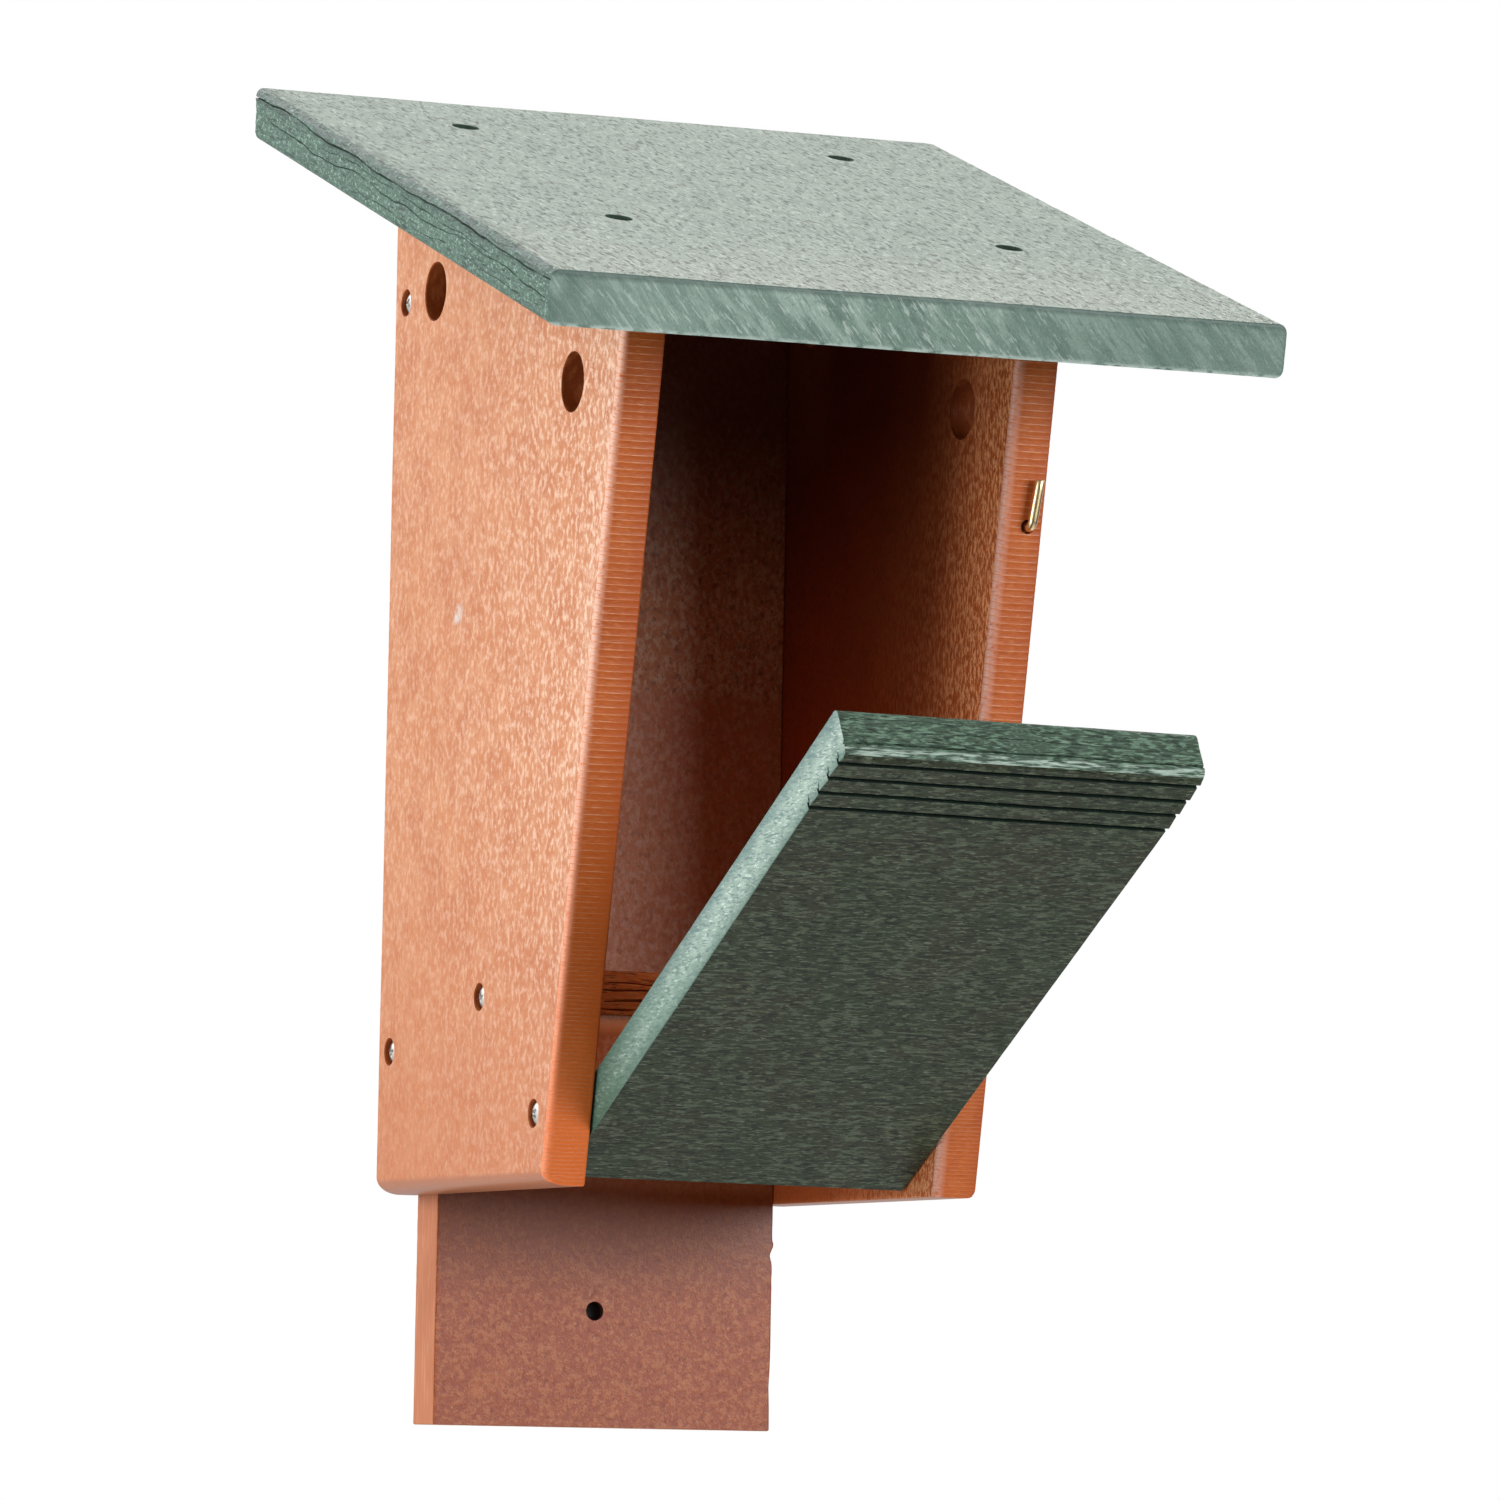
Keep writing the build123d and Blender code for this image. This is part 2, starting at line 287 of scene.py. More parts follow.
def cut(board, cutters):
    """Takes the cutters out of a board, and leaves its mesh final, smooth, with its true edges sharp."""
    first = cutters[0]
    if len(cutters) > 1:
        with bpy.context.temp_override(
            active_object=first, object=first, selected_objects=cutters, selected_editable_objects=cutters
        ):
            bpy.ops.object.join()
    modifier = board.modifiers.new("holes", "BOOLEAN")
    modifier.operation, modifier.solver, modifier.object = "DIFFERENCE", "EXACT", first
    modifier.material_mode = "INDEX"
    bpy.context.view_layer.update()
    mesh = bpy.data.meshes.new_from_object(board.evaluated_get(bpy.context.evaluated_depsgraph_get()))
    board.modifiers.clear()
    board.data = mesh
    bpy.data.objects.remove(first)
    smooth(mesh)
    return board


def smooth(mesh, angle=38.0):
    """Smooth shading, sharp where faces meet at more than the angle."""
    mesh.polygons.foreach_set("use_smooth", [True] * len(mesh.polygons))
    mesh.set_sharp_from_angle(angle=math.radians(angle))
    mesh.update()


# ---- materials ----
class Graph:
    """The node tree of a material or world, and short ways to add to it."""

    def __init__(self, owner):
        owner.use_nodes = True
        self.tree = owner.node_tree
        self.tree.nodes.clear()

    def add(self, kind, **values):
        node = self.tree.nodes.new(kind)
        for key, value in values.items():
            setattr(node, key, value)
        return node

    def put(self, socket, value):
        if isinstance(value, bpy.types.NodeSocket):
            self.tree.links.new(value, socket)
        elif isinstance(value, (tuple, list)) and len(value) == 3 and socket.type == "RGBA":
            socket.default_value = (*value, 1.0)
        else:
            socket.default_value = value

    def range(self, value, low, high, to_low=0.0, to_high=1.0, soft=True):
        node = self.add("ShaderNodeMapRange", interpolation_type="SMOOTHSTEP" if soft else "LINEAR")
        for name, v in zip(("Value", "From Min", "From Max", "To Min", "To Max"), (value, low, high, to_low, to_high)):
            self.put(node.inputs[name], v)
        return node.outputs[0]

    def math(self, operation, a, b):
        node = self.add("ShaderNodeMath", operation=operation)
        self.put(node.inputs[0], a)
        self.put(node.inputs[1], b)
        return node.outputs[0]


class Nodes(Graph):
    """A new material's node tree, with one shader."""

    def __init__(self, name):
        self.material = bpy.data.materials.new(name)
        super().__init__(self.material)
        self.shader = self.add("ShaderNodeBsdfPrincipled")
        self.put(self.add("ShaderNodeOutputMaterial").inputs[0], self.shader.outputs[0])
        self.place = self.add("ShaderNodeTexCoord").outputs["Object"]

    def mapped(self, size, turn):
        """Object coordinates in cells of this size, one length or three in millimetres, after a turn in degrees."""
        turned_place = self.add("ShaderNodeMapping")
        turned_place.inputs["Rotation"].default_value = [math.radians(v) for v in turn]
        self.put(turned_place.inputs["Vector"], self.place)
        scaled = self.add("ShaderNodeMapping")
        scaled.inputs["Scale"].default_value = [1 / (s * MM) for s in np.broadcast_to(size, 3)]
        self.put(scaled.inputs["Vector"], turned_place.outputs[0])
        return scaled.outputs[0]

    def noise(self, size, turn=(0, 0, 0), detail=2.0, rough=0.5, twist=0.0):
        node = self.add("ShaderNodeTexNoise")
        self.put(node.inputs["Vector"], self.mapped(size, turn))
        for name, v in (("Scale", 1.0), ("Detail", detail), ("Roughness", rough), ("Distortion", twist)):
            node.inputs[name].default_value = v
        return node.outputs["Fac"]

    def mix(self, factor, a, b, blend="MIX"):
        node = self.add("ShaderNodeMix", data_type="RGBA", blend_type=blend)
        self.put(node.inputs[0], factor)
        self.put(node.inputs[6], a)
        self.put(node.inputs[7], b)
        return node.outputs[2]

    def along(self, direction):
        """Distance along a direction, in metres."""
        node = self.add("ShaderNodeVectorMath", operation="DOT_PRODUCT")
        self.put(node.inputs[0], self.place)
        node.inputs[1].default_value = direction
        return node.outputs["Value"]

    def bump(self, height, distance):
        node = self.add("ShaderNodeBump")
        node.inputs["Strength"].default_value = 1.0
        node.inputs["Distance"].default_value = distance * MM
        self.put(node.inputs["Height"], height)
        return node.outputs[0]


class Layer:
    """One set of flecks, streaks or blotches: its colour, size in millimetres, noise cut and amount.

    Its fade rows say where it fades: (direction, none_at, full_at) in millimetres along the direction, and
    then the two strengths when they aren't 0 and 1. They shape real marks and painted light and shade alike.
    """

    def __init__(
        self, colour, size, cut, amount, turn=(0, 0, 0), detail=2.0, rough=0.55, twist=0.0, wear=(), height=0.5
    ):
        self.colour, self.size, self.cut, self.amount, self.turn = colour, size, cut, amount, turn
        self.detail, self.rough, self.twist, self.wear, self.height = detail, rough, twist, wear, height


def tint(colour, amount, *wear, size=30.0):
    """A nearly even layer that is only there where its fade rows let it be."""
    return Layer(colour, size, (0.10, 0.30), amount, wear=wear)


def plastic(
    name, base, deep, layers, turn=(0, 0, 0), grain_size=0.6, grain=0.16, rough=(0.36, 0.52), bump=0.05, specular=0.5
):
    """Recycled plastic: a base colour with deeper patches, layers of flecks, fine grain and dull and glossy spots."""
    n = Nodes(name)
    colour = n.mix(n.range(n.noise(26.0, detail=3.0), 0.35, 0.68), base, deep)
    height = fine = n.noise(grain_size, turn, rough=0.6)
    for layer in layers:
        marks = n.noise(layer.size, layer.turn, layer.detail, layer.rough, layer.twist)
        amount = n.math("MULTIPLY", n.range(marks, *layer.cut), layer.amount)
        for direction, none_at, full_at, *strengths in layer.wear:
            fade_here = n.range(n.along(direction), none_at * MM, full_at * MM, *strengths, soft=False)
            amount = n.math("MULTIPLY", amount, fade_here)
        colour = n.mix(amount, colour, layer.colour)
        height = n.math("ADD", height, n.math("MULTIPLY", amount, layer.height))
    shade = n.range(fine, 0.25, 0.75, 1 - grain, 1 + grain, soft=False)
    n.put(n.shader.inputs["Base Color"], n.mix(1.0, colour, shade, "MULTIPLY"))
    n.put(n.shader.inputs["Roughness"], n.range(height, 0.3, 1.2, rough[1], rough[0]))
    n.shader.inputs["Specular IOR Level"].default_value = specular
    n.put(n.shader.inputs["Normal"], n.bump(height, bump))
    return n.material


def painted_shade_plastic(name, base, deep, fleck, size=1.0, cut=(0.5, 0.7), amount=0.4, rough=(0.6, 0.75), bump=0.03, specular=0.2):
    """Plain plastic painted dark as shade, for the walls of a hole or the floor of a crack."""
    return plastic(name, base, deep, [Layer(fleck, size, cut, amount)], rough=rough, bump=bump, specular=specular)


FORWARD_LEAN, ROOF_DOWN, ROOF_NORMAL = tuple(LEAN_OUT), tuple(ROOF_ALONG), tuple(ROOF_UP)
FRONT_AT = SIDE_BOTTOM_DEPTH * math.cos(LEAN)
UPWARD, RIGHTWARD, OUTWARD = (0, 0, 1), (1, 0, 0), (0, -1, 0)
ROOF_TOP_AT = ROOF_BACK_TOP * math.cos(ROOF_SLOPE)
ROOF_UNDER_AT = ROOF_TOP_AT - ROOF_THICK
DOOR_TURN = (90 - math.degrees(DOOR_OPEN), 0, 0)
ROOF_TURN = (-math.degrees(ROOF_SLOPE), 0, 0)
DOOR_ALONG, DOOR_ACROSS = tuple(DOOR_UP), tuple(DOOR_OUT)
DOOR_MID = float(np.dot(DOOR_FOOT, DOOR_OUT)) - DOOR_THICK / 2
DOOR_BASE = float(np.dot(DOOR_FOOT, DOOR_UP))

ORANGE, ORANGE_DEEP = (0.5, 0.172, 0.056), (0.46, 0.144, 0.044)
PEACH = (0.82, 0.56, 0.41)

orange_skin = plastic(
    "orange_skin", ORANGE, ORANGE_DEEP,
    [
        Layer((0.6, 0.27, 0.125), (7.0, 7.0, 8.0), (0.4, 0.62), 0.45),
        Layer(PEACH, (2.3, 2.3, 3.0), (0.45, 0.64), 0.8, detail=4.0, rough=0.68,
              wear=((FORWARD_LEAN, FRONT_AT - 125, FRONT_AT - 8, 0.42, 1.0), (UPWARD, 0, 150, 0.75, 1.0))),
        # pale flecks along the front arris: partly rubbed, partly a painted highlight where it faces the key light
        Layer((0.84, 0.62, 0.5), (2.4, 2.4, 3.4), (0.46, 0.62), 0.42, detail=4.0, rough=0.68,
              wear=((FORWARD_LEAN, FRONT_AT - 16, FRONT_AT - 1), (UPWARD, 20, 140, 0.15, 1.0))),
        Layer((0.44, 0.115, 0.026), (1.8, 1.8, 2.4), (0.58, 0.72), 0.4),
        tint((0.46, 0.125, 0.032), 0.5, (UPWARD, 120, 10)),
        tint((0.4, 0.14, 0.062), 0.9, (UPWARD, 2.6, 1.4), size=6.0),
        Layer((0.6, 0.6, 0.58), 2.4, (0.3, 0.5), 0.7, wear=((RIGHTWARD, -55, -65), (UPWARD, 178, 180),
              (UPWARD, 185.5, 182.5), (FORWARD_LEAN, 22, 24), (FORWARD_LEAN, 31, 27))),
    ],
    grain_size=(0.9, 0.9, 1.2), grain=0.08, rough=(0.36, 0.5),
)
orange_inside = plastic(
    "orange_inside", (0.46, 0.105, 0.022), (0.4, 0.085, 0.016),
    [
        # the plastic's own pale flecks, faded out deeper inside the box as painted shade
        Layer((0.92, 0.43, 0.2), (1.4, 1.4, 3.0), (0.43, 0.6), 0.85, detail=4.0, rough=0.7,
              wear=((FORWARD_LEAN, FRONT_AT - 95, FRONT_AT - 8, 0.04, 1.0),)),
        Layer((0.24, 0.045, 0.009), (1.4, 1.4, 3.2), (0.55, 0.68), 0.6, detail=3.0, rough=0.65),
        # painted shade: darker towards the top and the back inside the box
        tint((0.11, 0.015, 0.001), 0.88, (UPWARD, 150, 250), (FORWARD_LEAN, FRONT_AT - 25, FRONT_AT - 70)),
    ],
    grain_size=(0.7, 0.7, 1.2), rough=(0.36, 0.5), bump=0.07,
)


def planed(name, base, deep, arris, arris_x, arris_far, plain_x, plain_far, low):
    """A planed front edge: fine marks across it, a pale rounded arris that is partly rubbed and partly a painted
    highlight, a plainer far side in painted shade, and painted light low down.
    """
    return plastic(
        name, base, deep,
        [
            Layer((0.68, 0.22, 0.07), (3.0, 3.0, 0.6), (0.48, 0.68), 0.45),
            Layer((0.42, 0.075, 0.011), (5.0, 5.0, 0.8), (0.54, 0.7), 0.45),
            # pale arris band: partly rubbed, partly a painted highlight facing the key light
            Layer(arris, (2.0, 2.0, 1.6), (0.16, 0.5), 0.8, wear=((RIGHTWARD, arris_far, arris_x),)),
            # painted shade on the far side from the key light
            tint((0.5, 0.095, 0.014), 0.75, (RIGHTWARD, plain_x, plain_far), size=9.0),
            # painted light: brighter low down, by the amount low
            tint((0.8, 0.17, 0.026), low, (UPWARD, 150, 20), size=9.0),
        ],
        grain_size=(1.6, 1.6, 0.35), grain=0.1, rough=(0.42, 0.55), bump=0.02, specular=0.3,
    )


def crest(name, pale, plain_x, plain_far):
    """The thin ridge between two planed scallops, painted pale as a highlight where it catches the light, plainer on
    its far side from the key light and duller low down.
    """
    return plastic(
        name, (0.7, 0.222, 0.072), (0.64, 0.18, 0.052),
        [
            Layer(pale, (4.0, 4.0, 1.2), (0.42, 0.64), 0.55),
            # painted shade: the ridge highlight fades out on the side away from the key light
            tint((0.52, 0.11, 0.018), 0.85, (RIGHTWARD, plain_x, plain_far), size=9.0),
            tint((0.62, 0.15, 0.034), 0.6, (UPWARD, 130, 20), size=9.0),
        ],
        grain_size=(1.2, 1.2, 0.3), grain=0.1, rough=(0.34, 0.46), bump=0.02,
    )


# edge_left: low=0.75 is painted light, brightening the lower part of the edge below the roof's shade
edge_left = planed(
    "edge_left", (0.58, 0.124, 0.019), (0.5, 0.098, 0.014), (0.84, 0.54, 0.42),
    arris_x=-73.0, arris_far=-70.6, plain_x=-66.5, plain_far=-60.0, low=0.75,
)
# edge_right's base, lighter than edge_left's, is painted light: this edge is lit more brightly
edge_right = planed(
    "edge_right", (0.62, 0.142, 0.026), (0.55, 0.115, 0.019), (0.74, 0.44, 0.36),
    arris_x=59.4, arris_far=62.6, plain_x=68.5, plain_far=73.0, low=0.0,
)
crest_left = crest("crest_left", (0.84, 0.44, 0.26), -65.0, -60.5)
crest_right = crest("crest_right", (0.8, 0.4, 0.25), 69.0, 73.0)
orange_sawn = plastic(
    "orange_sawn", (0.44, 0.14, 0.05), (0.38, 0.112, 0.036),
    [Layer((0.6, 0.28, 0.15), (0.9, 0.9, 14.0), (0.5, 0.7), 0.4)],
    grain_size=(0.5, 0.5, 8.0), grain=0.07, rough=(0.42, 0.55), bump=0.02,
)
# walls of holes in the orange boards: painted shade
orange_hole = painted_shade_plastic(
    "orange_hole", (0.27, 0.056, 0.01), (0.2, 0.038, 0.006), (0.4, 0.12, 0.035),
    size=(2.6, 6.0, 6.0), cut=(0.48, 0.7), amount=0.6, rough=(0.5, 0.65), specular=0.15,
)
# floors of the cracks in the floor board's edge: painted shade
orange_crack = painted_shade_plastic(
    "orange_crack", (0.1, 0.014, 0.002), (0.06, 0.009, 0.001), (0.24, 0.05, 0.01), amount=0.3
)
floor_front_edge = plastic(
    "floor_front_edge", (0.86, 0.165, 0.02), (0.74, 0.125, 0.013),
    [Layer((0.3, 0.04, 0.005), (7.0, 0.8, 0.8), (0.54, 0.64), 0.8, twist=0.6),
     Layer((0.92, 0.34, 0.09), (6.0, 0.6, 0.6), (0.58, 0.7), 0.6)],
    grain_size=(2.0, 0.5, 0.5), rough=(0.44, 0.6), bump=0.15, specular=0.3,
)
roof_skin = plastic(
    "roof_skin", (0.18, 0.258, 0.186), (0.15, 0.225, 0.16),
    [
        Layer((0.26, 0.34, 0.25), (1.8, 4.5, 2.2), (0.5, 0.68), 0.5, turn=ROOF_TURN),
        Layer((0.034, 0.06, 0.038), (1.4, 4.6, 1.8), (0.56, 0.67), 0.9, turn=ROOF_TURN, height=-1.2),
        Layer((0.07, 0.108, 0.072), (3.0, 7.0, 3.0), (0.55, 0.7), 0.4, turn=ROOF_TURN, height=-0.3),
        Layer((0.16, 0.18, 0.11), 40.0, (0.15, 0.45), 0.6, wear=((ROOF_DOWN, 60, 260),)),
        Layer((0.03, 0.062, 0.042), (1.2, 9.0, 2.0), (0.49, 0.6), 0.9, turn=ROOF_TURN, height=-0.8,
              wear=((RIGHTWARD, -115.0, -123.5),)),
    ],
    turn=ROOF_TURN, grain_size=(0.6, 1.4, 0.9), rough=(0.3, 0.54), bump=0.42,
)
roof_edge = plastic(
    "roof_edge", (0.056, 0.118, 0.086), (0.04, 0.09, 0.064),
    [
        Layer((0.17, 0.3, 0.235), (1.6, 2.2, 1.3), (0.5, 0.66), 0.7, turn=ROOF_TURN, detail=3.0, rough=0.65),
        Layer((0.32, 0.46, 0.38), (1.0, 1.5, 0.9), (0.6, 0.7), 0.7, turn=ROOF_TURN),
        Layer((0.012, 0.032, 0.022), (1.2, 7.0, 0.8), (0.56, 0.66), 0.8, turn=ROOF_TURN, height=-0.8, twist=0.4),
        Layer((0.022, 0.052, 0.042), (2.0, 6.0, 2.0), (0.35, 0.55), 0.75, turn=ROOF_TURN,
              wear=((ROOF_NORMAL, ROOF_TOP_AT - 5.0, ROOF_TOP_AT - 3.5),)),
    ],
    turn=ROOF_TURN, grain_size=(0.5, 1.6, 0.5), grain=0.2, rough=(0.4, 0.6), bump=0.22,
)
green_sawn = plastic(
    "green_sawn", (0.185, 0.29, 0.235), (0.15, 0.245, 0.198),
    [
        Layer((0.33, 0.45, 0.385), (6.0, 6.0, 70.0), (0.46, 0.6), 0.75, turn=(0, 42, 0)),
        Layer((0.075, 0.15, 0.12), (5.0, 5.0, 60.0), (0.52, 0.64), 0.7, turn=(0, 42, 0)),
        Layer((0.5, 0.61, 0.54), (0.9, 0.9, 30.0), (0.56, 0.66), 0.65, turn=(0, 42, 0)),
        Layer((0.08, 0.155, 0.125), (1.0, 1.0, 30.0), (0.54, 0.66), 0.6, turn=(0, 42, 0)),
        Layer((0.1, 0.18, 0.145), (1.0, 1.0, 1.3), (0.56, 0.7), 0.4),
        Layer((0.44, 0.54, 0.48), (0.8, 0.8, 1.0), (0.6, 0.72), 0.4),
        tint((0.34, 0.46, 0.4), 0.35, (RIGHTWARD, -20, -105), size=20.0),
        Layer((0.085, 0.16, 0.128), 14.0, (0.25, 0.55), 0.75, wear=((RIGHTWARD, -98, -118),)),
        tint((0.095, 0.172, 0.136), 0.62, (RIGHTWARD, 0, 65), size=20.0),
        Layer((0.05, 0.11, 0.086), (7.0, 3.0, 3.0), (0.2, 0.45), 0.85,
              wear=((ROOF_NORMAL, ROOF_TOP_AT - 2.4, ROOF_TOP_AT - 1.0),)),
        Layer((0.52, 0.64, 0.58), (6.0, 3.0, 3.0), (0.36, 0.52), 0.85,
              wear=((ROOF_NORMAL, ROOF_UNDER_AT + 1.3, ROOF_UNDER_AT + 0.5),)),
    ],
    grain_size=(0.5, 0.5, 0.9), grain=0.12, rough=(0.42, 0.58), bump=0.06,
)
# floors of the cracks in the green boards: painted shade
green_crack = painted_shade_plastic("green_crack", (0.01, 0.024, 0.017), (0.007, 0.017, 0.012), (0.03, 0.06, 0.045))
# walls of the roof's screw recesses: painted shade
green_recess = painted_shade_plastic(
    "green_recess", (0.04, 0.075, 0.055), (0.03, 0.058, 0.042), (0.08, 0.14, 0.1), rough=(0.5, 0.65), specular=0.25
)
door_skin = plastic(
    "door_skin", (0.022, 0.038, 0.016), (0.028, 0.032, 0.015),
    [
        Layer((0.064, 0.09, 0.048), (4.4, 1.4, 1.4), (0.49, 0.61), 0.85, turn=DOOR_TURN, detail=3.0),
        Layer((0.006, 0.011, 0.006), (4.0, 1.3, 1.3), (0.52, 0.63), 0.85, turn=DOOR_TURN, height=-0.5,
              detail=3.0),
        Layer((0.17, 0.2, 0.14), (3.2, 0.9, 0.9), (0.6, 0.7), 0.65, turn=DOOR_TURN),
    ],
    turn=DOOR_TURN, grain_size=(1.8, 0.7, 0.7), grain=0.22, rough=(0.46, 0.62), bump=0.1, specular=0.2,
)
door_sawn = plastic(
    "door_sawn", (0.25, 0.345, 0.296), (0.215, 0.305, 0.262),
    [
        Layer((0.37, 0.475, 0.41), (2.0, 6.0, 11.0), (0.4, 0.64), 0.6, turn=DOOR_TURN),
        Layer((0.1, 0.18, 0.165), (1.0, 4.0, 0.7), (0.5, 0.61), 0.8, detail=3.0),
        Layer((0.54, 0.65, 0.57), (1.0, 3.2, 0.6), (0.55, 0.66), 0.75, detail=3.0),
        Layer((0.085, 0.165, 0.158), (3.0, 3.0, 9.0), (0.12, 0.45), 0.9, turn=DOOR_TURN,
              wear=((DOOR_ACROSS, DOOR_MID - 1.5, DOOR_MID - 8.0),)),
        Layer((0.07, 0.145, 0.115), (3.0, 3.0, 9.0), (0.12, 0.45), 0.9, turn=DOOR_TURN,
              wear=((DOOR_ACROSS, DOOR_MID + 2.5, DOOR_MID + 8.5),)),
        # painted shade: the sawn sides darken towards the door's foot, behind the side boards' front edges
        Layer((0.042, 0.125, 0.082), (1.2, 3.6, 0.8), (0.1, 0.56), 0.94,
              wear=((DOOR_ALONG, DOOR_BASE + 135, DOOR_BASE + 25),)),
    ],
    turn=DOOR_TURN, grain_size=(0.6, 0.9, 0.4), grain=0.14, rough=(0.4, 0.56), bump=0.06, specular=0.4,
)
door_edge = plastic(
    "door_edge", (0.066, 0.12, 0.079), (0.052, 0.096, 0.062),
    [
        Layer((0.2, 0.34, 0.235), (3.4, 0.8, 0.8), (0.46, 0.6), 0.75, turn=DOOR_TURN, detail=3.0),
        Layer((0.014, 0.034, 0.018), (4.2, 0.8, 0.8), (0.52, 0.63), 0.85, turn=DOOR_TURN, height=-0.7),
        Layer((0.5, 0.64, 0.55), (8.0, 0.8, 0.8), (0.44, 0.58), 0.85, turn=DOOR_TURN,
              wear=((DOOR_ACROSS, DOOR_MID + 5.2, DOOR_MID + 5.8),)),
    ],
    turn=DOOR_TURN, grain_size=(1.6, 0.4, 0.4), grain=0.22, rough=(0.4, 0.6), bump=0.2,
)
TAIL, INSIDE = (UPWARD, 4, 0), (UPWARD, 0, 4)
FRONT_FACE = (OUTWARD, BACK_THICK - 3.0, BACK_THICK - 1.0)
# back_skin: the bright base and pale flecks that show inside the box are painted light, above the tail's darker tint
back_skin = plastic(
    "back_skin", (0.7, 0.24, 0.088), (0.62, 0.19, 0.064),
    [
        tint((0.31, 0.046, 0.003), 0.96, TAIL, FRONT_FACE),
        Layer((0.9, 0.56, 0.36), (1.6, 1.6, 2.2), (0.43, 0.62), 0.7, detail=4.0, rough=0.68,
              wear=(INSIDE, FRONT_FACE)),
        Layer((0.47, 0.135, 0.03), (1.6, 1.6, 1.8), (0.44, 0.6), 0.75, detail=4.0, rough=0.68, wear=(TAIL,)),
        Layer((0.64, 0.31, 0.16), (1.2, 1.2, 1.5), (0.64, 0.75), 0.4),
        Layer((0.22, 0.04, 0.01), (1.8, 1.8, 2.6), (0.54, 0.68), 0.5, height=-0.4),
        tint((0.66, 0.16, 0.038), 0.55, (UPWARD, 167, 162), INSIDE, FRONT_FACE),
        # painted shadow of the box across the top of the tail and the board below the floor
        tint((0.15, 0.034, 0.008), 0.75, (UPWARD, -34, -3), (UPWARD, 30, 20), FRONT_FACE),
        # painted shade at the top inside the box, under the roof
        tint((0.13, 0.014, 0.002), 0.88, (UPWARD, 195, 255), FRONT_FACE),
    ],
    grain_size=(0.7, 0.7, 1.0), grain=0.1, rough=(0.36, 0.5), specular=0.45,
)
# walls of the mounting holes: painted shade
hole_dark = painted_shade_plastic(
    "hole_dark", (0.05, 0.012, 0.006), (0.03, 0.008, 0.004), (0.09, 0.03, 0.015), rough=(0.55, 0.7), bump=0.02
)


def metal(name, size, bright, dull, rough, bump, detail):
    """Bare metal with duller marks."""
    n = Nodes(name)
    marks = n.noise(size, detail=detail)
    n.put(n.shader.inputs["Base Color"], n.mix(n.range(marks, 0.4, 0.7), bright, dull))
    n.shader.inputs["Metallic"].default_value = 1.0
    n.put(n.shader.inputs["Roughness"], n.range(marks, 0.3, 0.7, *rough))
    n.put(n.shader.inputs["Normal"], n.bump(marks, bump))
    return n.material


screw_steel = metal("screw_steel", 0.5, (0.72, 0.72, 0.7), (0.52, 0.51, 0.48), (0.18, 0.36), 0.01, 3.0)
hook_brass = metal("hook_brass", (1.2, 1.2, 5.0), (0.9, 0.72, 0.42), (0.78, 0.57, 0.28), (0.28, 0.4), 0.002, 2.0)


# ---- cutters ----
def recess(name, origin, normal, materials, slot, seed, depth=RECESS_DEPTH):
    """Counterbore and bore that sink one screw; origin is on the board's face."""
    profile = [
        (2.0, RECESS_RADIUS + 0.35), (0.0, RECESS_RADIUS + 0.3), (-0.35, RECESS_RADIUS), (-depth, RECESS_RADIUS),
        (-depth, BORE_RADIUS), (-depth - SCREW_LENGTH - 0.5, BORE_RADIUS),
    ]
    return turned(name, origin, normal, profile, 40, materials, slot, ragged=0.025, seed=seed)


def bore(name, origin, normal, radius, top, bottom, materials, slot, lip=0.0, segments=24, seed=0):
    """Straight hole between two heights along its normal, with a small lip at its top face, height 0."""
    profile = [(top, radius + lip), (0.0, radius + lip), (-1.2 * lip - 0.02, radius), (bottom, radius)]
    return turned(name, origin, normal, profile, segments, materials, slot, ragged=0.02, seed=seed)


def side_face(side, depth, height, inset=0.0):
    """A place on a side board's outer face, or this far in from it; side is -1 or 1."""
    return np.array((side * (OUTER_HALF - inset), -depth, height))


def pilot(name, side, depth, height, materials, slot, seed, inset=SIDE_THICK):
    """Bore in a board between the sides, for a screw that comes through a side board."""
    seat = side_face(side, depth, height, inset)
    return bore(name, seat, (side, 0, 0), BORE_RADIUS, 1.0, -PILOT_DEPTH, materials, slot, seed=seed)


def roof_seat(side, along, depth):
    """The place of a roof screw, this far under the roof's top face."""
    return np.array((side * SIDE_MID, 0, ROOF_BACK_TOP)) + ROOF_ALONG * along - ROOF_UP * depth


# ---- cracks ----
class Crack:
    """A wandering groove along a board's edge: base position across the edge, half width, depth, and its run."""

    def __init__(self, base, width, depth, wander, seed, start=-1e9, end=1e9):
        self.base, self.width, self.depth, self.wander, self.seed = base, width, depth, wander, seed
        self.start, self.end = start, end

    def lines(self):
        return self.base + self.width * np.array((-1.9, -1.0, -0.35, 0.35, 1.0, 1.9))

    def shift(self, along):
        return self.wander * fbm(self.seed, (along / 34.0,), 5)

    def strength(self, along):
        fade = np.clip((along - self.start) / 9.0, 0, 1) * np.clip((self.end - along) / 9.0, 0, 1)
        return fade * np.clip(0.72 + 0.5 * noise(self.seed + 5, along / 13.0), 0.12, 1.15)

    def groove(self, across, along):
        """Depth of the groove, with a small raised lip on each side."""
        u = np.abs(across - self.base) / self.width
        inner = np.clip((1.0 - u) / 0.65, 0, 1)
        lip = np.clip(1 - np.abs(u - 1.45) / 0.45, 0, 1)
        return self.strength(along) * (self.depth * inner - 0.09 * lip)


